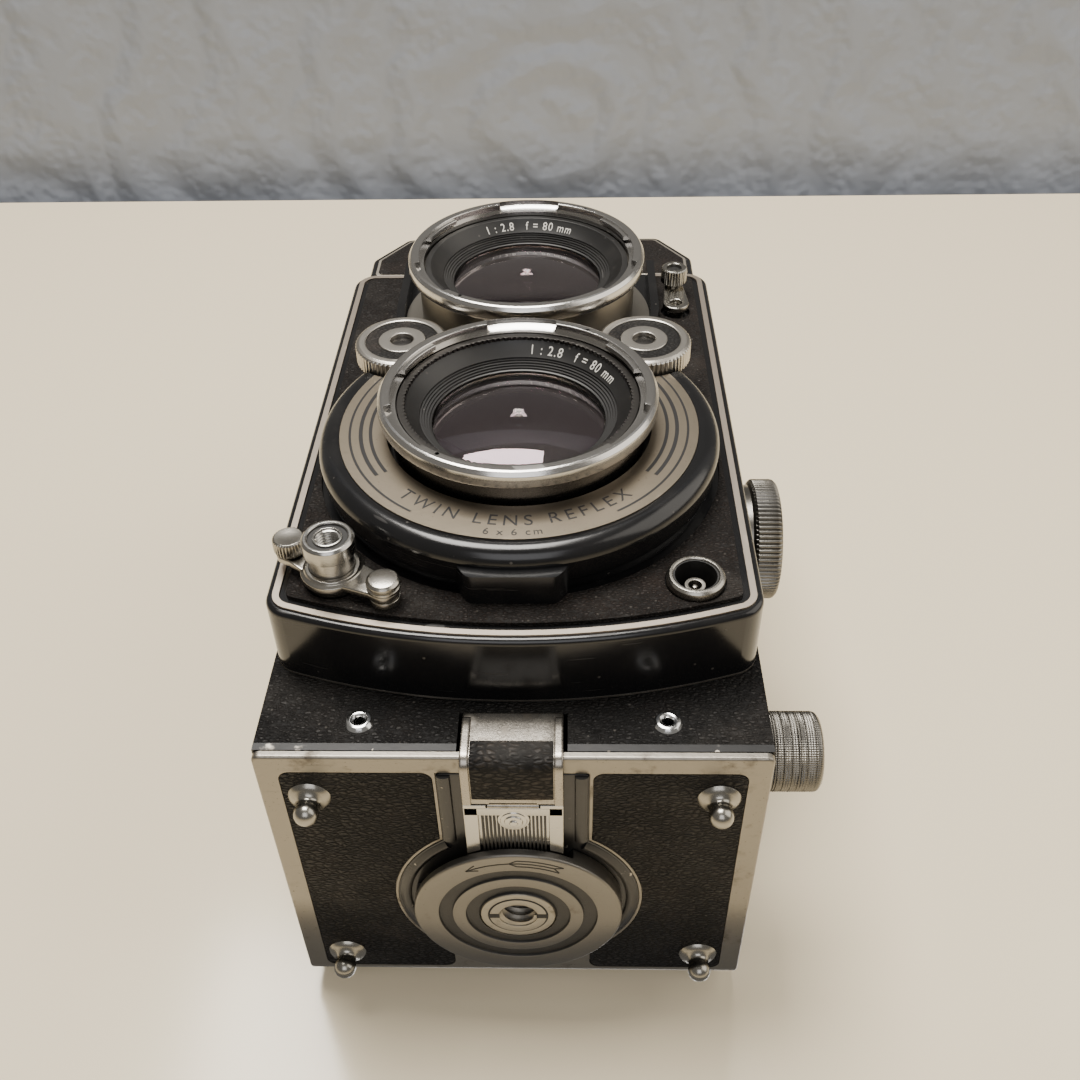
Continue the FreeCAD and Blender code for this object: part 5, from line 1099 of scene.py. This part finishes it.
glass, net, shader = finish("coated_glass", Base_Color=(0.92, 0.88, 0.86), Roughness=0.02, IOR=1.62,
    Transmission_Weight=1.0, Specular_Tint=(0.95, 0.62, 0.78), Coat_Weight=0.6)
cone_black = enamel("cone_black", colour=(0.010, 0.0095, 0.009), roughness=0.34, dust=0.35, ripple=0.004)
letter_white = enamel("letter_white", colour=(0.62, 0.6, 0.55), roughness=0.5, dust=0.2)
for name, axis_z, name_turn in (("taking", taking_z, 55), ("viewing", viewing_z, 90)):
    centre = (0, 0, axis_z)
    low, high = span(name + "_bayonet_ring")
    r = high.x
    face = low.y
    back = high.y
    bright = metal(name + "_chrome", clean=(0.56, 0.545, 0.52), stain=(0.16, 0.13, 0.1), cover=0.16,
        size=200.0, smooth=0.11, dull=0.32, lathe=("y", centre))
    mount = turned(name + "_bayonet", [(19.95, face + 1.6), (20.7, face + 1.6), (20.7, face + 0.9),
        (20.7, face + 0.12, 0.1), (20.85, face, 0.1), (21.95, face, 0.15), (22.3, face + 0.12, 0.1),
        (r - 0.05, face + 0.75, 0.25), (r, face + 1.2), (r, back - 0.7), (r - 0.15, back - 0.35, 0.1),
        (r - 0.5, back, 0.2), (19.95, back)], centre, "y", 360, slotted((90, 210, 330), 17.0, 20.7, 21.9,
        face + 1.3), crease=38.0)
    tabs = [mount]
    for turn in (30, 150, 270):
        tabs.append(turned(name + "_tab", [(19.9, face + 1.2), (20.75, face + 1.2),
            (20.75, face + 0.35, 0.1), (19.9, face + 0.4, 0.15)], centre, "y", 24,
            arc=(math.radians(turn - 13), math.radians(turn + 13))))
    for turn in (57, 237):
        angle = math.radians(turn)
        spot = (21.2 * math.cos(angle), 0, axis_z + 21.2 * math.sin(angle))
        tabs.append(turned(name + "_stop", [(0, face), (0.35, face), (0.45, face + 0.1),
            (0.45, face + 0.5), (0, face + 0.5)], spot, "y", 20))
    fit_on(joined(name + "_mount", tabs), "lens_standard", "chrome", bright, name + "_bayonet_ring")
    cone = turned(name + "_cone", [(19.72, -57.6), (19.72, -62.55, 0.1), (18.6, -62.6, 0.15),
        (18.45, -62.35), (16.3, -60.55), (16.25, -60.25), (15.95, -60.25), (15.9, -59.98),
        (15.55, -59.95), (15.5, -59.68), (15.15, -59.65), (15.1, -59.38), (14.75, -59.35), (14.7, -59.05),
        (14.38, -58.95), (14.38, -58.3), (17.4, -57.6)], centre, "y", 180, crease=25.0)
    fit_on(cone, "lens_standard", "cone_black", cone_black, name + "_name_ring")
    fit_on(lettering(name + "_figures", "1 : 2.8   f = 80 mm", 1.9, 16.7, name_turn, centre, -60.98,
        -60.9, 0.84, 1.2), "lens_standard", "face_plate", letter_white)
    dress(name + "_lens_glasses", glass)
letter_black = enamel("letter_black", colour=(0.012, 0.011, 0.011), roughness=0.4, dust=0.2)
plate_face = span("shutter_face_plate")[0].y
for words, size, radius, spread in (("TWIN LENS REFLEX", 3.4, 26.5, 1.4), ("6 x 6 cm", 2.0, 28.7, 1.3)):
    plate_words = lettering("plate_words", words, size, radius, 270, (0, 0, taking_z), plate_face - 0.03,
        plate_face + 0.02, 0.0, spread, -1)
    fit_on(plate_words, "lens_standard", "face_plate", letter_black)
ring_nickel = metal("ring_nickel", clean=(0.09, 0.085, 0.08), stain=(0.03, 0.026, 0.022), cover=0.3,
    smooth=0.25, lathe=("y", (0, 0, taking_z)))
low, high = span("taking_retaining_ring")
retainer = turned("retainer", [(18.45, low.y + 0.05, 0.05), (19.76, low.y + 0.05, 0.1), (19.76, high.y),
    (18.45, high.y)], (0, 0, taking_z), "y", 640, serrated(120, 0.2, 18.8), crease=30.0)
fit_on(retainer, "lens_standard", "nickel", ring_nickel, "taking_retaining_ring")
# The tube's dark tone is partly its own dull metal and partly painted shade for the shadow under the
# bayonet ring.
tube_metal_and_shade = metal("tube_metal_and_shade", clean=(0.2, 0.19, 0.18), stain=(0.05, 0.045, 0.04), cover=0.3,
    smooth=0.2, lathe=("y", (0, 0, taking_z)))
dress("taking_lens_tube", tube_metal_and_shade)
dress("viewing_lens_tube", metal("viewing_flange", clean=(0.3, 0.28, 0.245), stain=(0.1, 0.08, 0.06),
    cover=0.35, smooth=0.26, lathe=("y", (0, 0, viewing_z)), bands=((0.0, 19.5),)))

# ================================================================== flash sync socket
# Turned brass collar, nickelled, screwed into the front plate round a deep black cup.
# The contact in it has a sleeve and a centre pin.
low, high = span("flash_sync_socket")
sync_x = (low.x + high.x) / 2
sync_z = (low.z + high.z) / 2
centre = (sync_x, 0, sync_z)
sync_face = low.y
sync_metal = metal("sync_metal", clean=(0.38, 0.36, 0.32), stain=(0.1, 0.08, 0.06), cover=0.34,
    size=420.0, smooth=0.18, dull=0.45, lathe=("y", centre))
collar = turned("collar", [(3.45, sync_face + 1.4), (3.45, sync_face + 0.15, 0.1), (3.62, sync_face, 0.1),
    (4.0, sync_face + 0.02, 0.2), (4.4, sync_face + 0.4, 0.15), (4.45, sync_face + 1.2),
    (4.45, sync_face + 2.3), (3.45, sync_face + 2.3)], centre, "y", 96)
inner = [collar]
inner.append(turned("contact_sleeve", [(1.0, sync_face + 5.5), (1.0, sync_face + 2.2, 0.1),
    (1.62, sync_face + 2.2, 0.1), (1.62, sync_face + 5.8), (1.0, sync_face + 5.8)], centre, "y", 48))
inner.append(turned("contact_pin", [(0, sync_face + 2.4), (0.35, sync_face + 2.5),
    (0.48, sync_face + 2.8), (0.48, sync_face + 5.8), (0, sync_face + 5.8)], centre, "y", 32))
fit_on(joined("sync_socket", inner), "lens_standard", "chrome", sync_metal, "flash_sync_socket")
cup = turned("sync_cup", [(3.45, sync_face + 0.3), (3.45, sync_face + 6.9), (0, sync_face + 6.9),
    (0, sync_face + 6.0), (2.9, sync_face + 6.0, 0.3), (3.1, sync_face + 5.4), (3.2, sync_face + 0.3)],
    centre, "y", 72)
# This black is the sync socket cup's own colour, and also painted shade in the release button's groove
# and the timer knob's hollow.
cup_black_and_recess_shade = enamel("cup_black_and_recess_shade", colour=(0.007, 0.0065, 0.006), roughness=0.4, dust=0.2)
fit_on(cup, "lens_standard", "black_matt", cup_black_and_recess_shade)

# ======================================================= shutter release and its bracket
# Nickelled two-armed bracket with a raised collar; a knurled screw holds its left arm
# and a domed stud its right one. The button in the collar takes a cable release.
low, high = span("release_button")
release_x = (low.x + high.x) / 2
release_z = (low.z + high.z) / 2
centre = (release_x, 0, release_z)
button_face = low.y
nickel = metal("release_nickel", clean=(0.37, 0.35, 0.31), stain=(0.11, 0.085, 0.06), cover=0.32,
    size=380.0, smooth=0.18, dull=0.45)
button_metal = metal("button_metal", clean=(0.42, 0.41, 0.385), stain=(0.12, 0.09, 0.07), cover=0.25,
    size=380.0, smooth=0.14, dull=0.4, lathe=("y", centre))
button = [turned("button_ring", [(3.0, button_face + 0.9), (3.0, button_face + 0.15, 0.1),
    (3.2, button_face, 0.1), (3.6, button_face, 0.15), (3.97, button_face + 0.45, 0.15),
    (3.97, -56.0, 0.1), (3.4, -55.9), (3.4, -51.95), (2.4, -51.95), (2.4, -45.0), (0, -45.0), (0, -52.3),
    (2.1, -52.3), (2.1, button_face + 0.9)], centre, "y", 96)]
button.append(turned("button_sleeve", [(2.2, button_face + 1.0), (2.2, button_face + 0.15, 0.1),
    (1.95, button_face + 0.08, 0.08), (1.85, button_face + 0.3), (1.85, -52.4), (2.2, -52.4)], centre,
    "y", 56))
button.append(thread("button_thread", centre, "y", 1.6, 1.86, button_face + 0.4, -52.6, 0.5))
fit_on(joined("release_piece", button), "release_button", "chrome", button_metal, "release_button")
# A black ring fills the bottom of the groove between the button ring and its sleeve: painted shade in
# that recess.
well_shade = turned("button_well_shade", [(2.22, button_face + 0.45), (2.98, button_face + 0.45),
    (2.98, button_face + 0.95), (2.22, button_face + 0.95)], centre, "y", 64)
fit_on(well_shade, "release_button", "black_matt", cup_black_and_recess_shade)
plate_back = -51.4
plate_front = -52.6
bracket = []
arm_ends = ((-7.0, 3.7), (8.3, -4.6))
for end in arm_ends:
    along = Vector(end).normalized()
    across = Vector((-along.y, along.x))
    hub = Vector((release_x, release_z))
    tip = hub + Vector(end)
    turn = math.degrees(math.atan2(along.y, along.x))
    loop = [tuple(hub + along * 3.6 + across * 2.9), tuple(hub + along * 3.6 - across * 2.9),
        tuple(tip - across * 2.2 - along * 1.4)]
    loop += circle(2.25, tip, turn - 80, turn + 80, 20)
    loop += [tuple(tip + across * 2.2 - along * 1.4)]
    bracket.append(slab("arm", loop, "y", plate_front, plate_back, 0.3, [circle(1.0, tip)]))
bracket.append(turned("bracket_hub", [(3.45, -53.15), (3.62, -53.2, 0.1), (4.15, -53.1, 0.3),
    (4.35, plate_front - 0.1, 0.2), (4.9, plate_front + 0.2, 0.2), (4.9, plate_back, 0.2),
    (4.3, plate_back + 0.1), (4.3, -49.4), (3.45, -49.4)], centre, "y", 96))
left = (release_x + arm_ends[0][0], 0, release_z + arm_ends[0][1])
right_spot = (release_x + arm_ends[1][0], 0, release_z + arm_ends[1][1])
bracket.append(turned("bracket_screw", [(0, -55.2), (1.2, -55.3), (2.1, -55.4, 0.1), (2.45, -55.15, 0.1),
    (2.52, -54.6), (2.52, -53.3), (2.4, -52.9, 0.1), (1.0, -52.7), (1.0, -51.4), (0, -51.4)], left, "y",
    180, milled(30, 0.2, 2.35), crease=45.0))
bracket.append(turned("bracket_stud", [(0, -54.7), (1.2, -54.66), (2.1, -54.5, 0.2), (2.55, -54.15, 0.2),
    (2.55, -53.75, 0.1), (2.2, -53.6, 0.05), (2.2, -53.4, 0.05), (2.55, -53.25, 0.1), (2.55, -52.75, 0.1),
    (1.1, -52.6), (1.1, -51.4), (2.35, -51.3, 0.1), (2.4, -50.1), (0, -50.1)], right_spot, "y", 72))
fit_on(joined("bracket", bracket), "lens_standard", "nickel", nickel, "release_bracket")

# =================================================================== self-timer lever
# Flat lever stamped from brass, chromed and drilled through at its pivot. A turned and
# milled knob with a hollow top is riveted to its upper end.
low, high = span("self_timer_lever")
timer_x = (low.x + high.x) / 2
knob_z = high.z - 2.65
pivot_z = low.z + 2.6
loop = circle(2.6, (timer_x, pivot_z), 176, 364, 32) + circle(1.9, (timer_x, knob_z), -4, 184, 24)
hole = circle(1.15, (timer_x, pivot_z))
timer = [slab("timer_plate", loop, "y", -52.2, -51.0, 0.25, [hole])]
timer.append(turned("timer_knob", [(1.45, -55.2), (1.45, -55.85, 0.1), (1.65, -56.0, 0.1),
    (2.3, -56.0, 0.15), (2.6, -55.75, 0.1), (2.62, -55.3), (2.62, -53.4), (2.6, -52.9, 0.1),
    (2.0, -52.5, 0.2), (1.8, -52.1), (0, -52.1), (0, -55.2)], (timer_x, 0, knob_z), "y", 160,
    milled(26, 0.2, 2.5), crease=45.0))
timer.append(turned("timer_pivot", [(1.75, -51.1), (1.75, -49.5), (1.2, -49.5), (1.2, -46.6), (0, -46.6),
    (0, -51.1)], (timer_x, 0, pivot_z), "y", 48))
timer_metal = metal("timer_metal", clean=(0.38, 0.365, 0.33), stain=(0.12, 0.09, 0.07), cover=0.28,
    size=400.0, smooth=0.14, dull=0.4)
fit_on(joined("timer_piece", timer), "self_timer_lever", "chrome", timer_metal, "self_timer_lever")
# A black disc on the floor of the knob's hollow top: painted shade in the hollow.
dimple_shade = turned("timer_dimple_shade", [(0, -55.25), (1.44, -55.25), (1.44, -55.15), (0, -55.15)],
    (timer_x, 0, knob_z), "y", 40)
fit_on(dimple_shade, "self_timer_lever", "black_matt", cup_black_and_recess_shade)

# ===================================================================== focusing knob
# Chromed knob on the right, milled with eighty straight flutes behind a rounded rim;
# its shaft drives a rack that moves the standard.
low, high = span("focusing_knob")
knob_y = (low.y + high.y) / 2
knob_z = (low.z + high.z) / 2
centre = (0, knob_y, knob_z)
knob_r = (high.y - low.y) / 2
knob_chrome = metal("knob_chrome", clean=(0.2, 0.19, 0.17), stain=(0.07, 0.052, 0.04), cover=0.4,
    size=220.0, smooth=0.2, dull=0.46, lathe=("x", centre))
knob = turned("focus_knob", [(1.6, 38.35), (10.55, 38.35, 0.15), (10.6, 39.5), (10.6, 42.9, 0.2),
    (11.25, 43.2, 0.2), (knob_r, 43.7, 0.2), (knob_r, 44.4), (knob_r, 45.6), (knob_r, high.x - 1.0),
    (knob_r - 0.1, high.x - 0.6), (knob_r - 0.55, high.x - 0.15), (knob_r - 1.1, high.x, 0.2),
    (9.2, high.x, 0.2), (8.9, high.x - 0.45, 0.2), (8.0, high.x - 0.5), (2.2, high.x - 0.5),
    (2.2, high.x - 0.3, 0.1), (0, high.x - 0.2), (0, high.x - 3.0), (1.6, high.x - 3.0)], centre, "x",
    560, milled(80, 0.36, knob_r - 0.4), crease=40.0)
fit_on(knob, "focusing_drive", "chrome", knob_chrome, "focusing_knob")
drive_steel = metal("drive_steel", clean=(0.42, 0.41, 0.39), cover=0.2, smooth=0.25)
dress("focusing_shaft", drive_steel)
dress("focusing_rack", metal("rack_brass", clean=(0.55, 0.4, 0.2), stain=(0.2, 0.12, 0.05), cover=0.3,
    smooth=0.25))

# ======================================================================= spool knobs
# Two turned brass knobs, chromed and cut with a diamond knurl. Each is pulled out to
# change film, and the spindle inside it holds the end of a spool.


def diamond(count, depth, above, pitch):
    """Crossed knurls of that count round the rim and pitch along it, in mm."""
    def change(radius, along, angle):
        if radius < above:
            return radius
        first = math.sin(count * angle + 2 * math.pi * along / pitch)
        second = math.sin(count * angle - 2 * math.pi * along / pitch)
        return radius - depth * (0.5 - 0.5 * first * second)
    return change


for node in ("lower_spool_knob", "upper_spool_knob"):
    low, high = span(node)
    centre = (0, (low.y + high.y) / 2, (low.z + high.z) / 2)
    r = (high.y - low.y) / 2
    spool_chrome = metal(node + "_metal", clean=(0.2, 0.19, 0.17), stain=(0.045, 0.034, 0.027), cover=0.3,
        size=300.0, smooth=0.22, dull=0.48)
    outline = [(0, low.x), (1.35, low.x, 0.2), (2.0, low.x + 1.0), (2.0, 38.35), (5.15, 38.35),
        (5.2, 39.5, 0.1), (r - 0.45, 39.75, 0.1)]
    rows = 64
    for number in range(rows + 1):
        outline.append((r, 40.2 + (high.x - 0.9 - 40.2) * number / rows))
    outline += [(r - 0.25, high.x - 0.5), (r - 0.7, high.x - 0.12), (r - 1.1, high.x),
        (4.6, high.x, 0.15), (4.4, high.x - 0.2, 0.1), (0, high.x - 0.2)]
    knob = turned(node + "_piece", outline, centre, "x", 432, diamond(54, 0.26, r - 0.1, 0.8),
        crease=60.0)
    fit_on(knob, node, "chrome", spool_chrome, node)

# ======================================================================== film crank
# Folding crank on the left side, all of it chromed brass: a turned hub with two ears, a
# flat arm on a pin between them and a milled handle riveted to the arm's end.
crank_chrome = metal("crank_chrome", clean=(0.5, 0.49, 0.465), stain=(0.14, 0.11, 0.085), cover=0.22,
    smooth=0.14, dull=0.38)
dress("film_crank_hub", crank_chrome)
dress("film_crank_arm", crank_chrome)
low, high = span("film_crank_handle")
centre = (0, (low.y + high.y) / 2, (low.z + high.z) / 2)
handle = turned("crank_handle", [(1.05, low.x + 0.02), (3.0, low.x + 0.02, 0.15),
    (3.25, low.x + 0.4, 0.2), (2.9, low.x + 1.2), (3.15, high.x - 0.3, 0.2), (2.9, high.x - 0.02, 0.1),
    (1.05, high.x - 0.02)], centre, "x", 120, milled(24, 0.12, 2.95), crease=40.0)
fit_on(handle, "film_crank_handle", "chrome", crank_chrome, "film_crank_handle")

# ================================================================ film transport, inside
# Film gate and light tunnel in matt black, steel rollers and take-up spool with its
# gear, and the sprung pressure plate on the door.
gate_black = enamel("gate_black", colour=(0.014, 0.014, 0.014), roughness=0.62, dust=0.3, ripple=0.03)
dress("film_gate", gate_black)
dress("pressure_plate", gate_black)
for node in ("take_up_spool", "upper_film_roller", "lower_film_roller"):
    dress(node, drive_steel)

# ============================================================ nameplate housing and hood
# Enamelled housing over the viewing lens, then the hood: base frame, folding leaves, a
# leather-covered lid and a magnifier on an arm inside it.
dress("nameplate_housing", enamel("housing_enamel", roughness=0.15, dust=0.3))
low, high = span("nameplate_housing")
for inset, front, material in ((1.3, 0.14, metal("name_trim", clean=(0.6, 0.55, 0.47), cover=0.3,
        smooth=0.38)), (1.9, 0.3, panel_hide)):
    half = high.x - inset
    knee = 133.0 - 0.4 * inset
    top = high.z - inset
    top_half = 28.5 - 0.5 * inset
    outline = [(-half, low.z + inset, 1.2), (half, low.z + inset, 1.2), (half, knee, 1.2),
        (top_half, top, 1.2), (-top_half, top, 1.2), (-half, knee, 1.2)]
    name_sheet = slab("name_sheet", outline, "y", low.y - front, low.y + 0.3, 0.1)
    fit_on(name_sheet, "root", "brown_leather" if material == panel_hide else "chrome", material)
dress("hood_base", enamel("hood_enamel", roughness=0.2, dust=0.4))
lid_low, lid_high = span("hood_lid")
material, net, shader = finish("lid_finish", Specular_IOR_Level=0.35)
spot = net.node("SeparateXYZ", Vector=net.place()).outputs
across = net.step(net.math("ABSOLUTE", spot[0]), (lid_high.x - 2.6) * MM, (lid_high.x - 2.8) * MM)
front = net.step(spot[1], (lid_low.y + 2.6) * MM, (lid_low.y + 2.8) * MM)
rear = net.step(spot[1], 15.4 * MM, 15.2 * MM)
top = net.step(spot[2], (lid_high.z - 0.5) * MM, (lid_high.z - 0.3) * MM)
covered = net.times(net.times(across, front), net.times(rear, top))
grain = net.group("leather grain", Pebble=1650.0, Wear=0.25)
net.feed(shader.inputs["Base Color"], net.blend(covered, (0.01, 0.01, 0.0105), grain["Colour"]))
gloss = net.plus(0.2, net.times(net.noise(150.0), 0.08))
rough_mix = net.node("Mix", {"data_type": "FLOAT"})
for number, value in ((0, covered), (2, gloss), (3, grain["Roughness"])):
    net.feed(rough_mix.inputs[number], value)
net.feed(shader.inputs["Roughness"], rough_mix.outputs[0])
bump(net, shader, net.times(covered, grain["Height"]), 0.16)
dress("hood_lid", material)
for node in ("hood_left_wall", "hood_right_wall", "hood_front_flap"):
    dress(node, gate_black)
dress("magnifier", metal("magnifier_metal", clean=(0.45, 0.44, 0.42), cover=0.2, smooth=0.2))

# ============================================================ mirror and focusing screen
# Front-silvered glass mirror held on a blackened sheet-metal bracket at forty-five
# degrees. The ground-glass screen lies above it in the hood's base.
dress("mirror_bracket", gate_black)
silver, net, shader = finish("mirror_silver", Metallic=1.0)
net.feed(shader.inputs["Base Color"], net.blend(net.step(net.noise(60.0), 0.6, 0.8), (0.86, 0.87, 0.87),
    (0.7, 0.7, 0.68)))
net.feed(shader.inputs["Roughness"], net.times(net.noise(300.0), 0.06))
dress("reflex_mirror", silver)
ground, net, shader = finish("ground_glass", Base_Color=(0.9, 0.92, 0.9), Transmission_Weight=0.9,
    IOR=1.5)
net.feed(shader.inputs["Roughness"], net.plus(0.3, net.times(net.noise(900.0), 0.1)))
bump(net, shader, net.noise(4000.0, 2.0), 0.01)
dress("focusing_screen", ground)
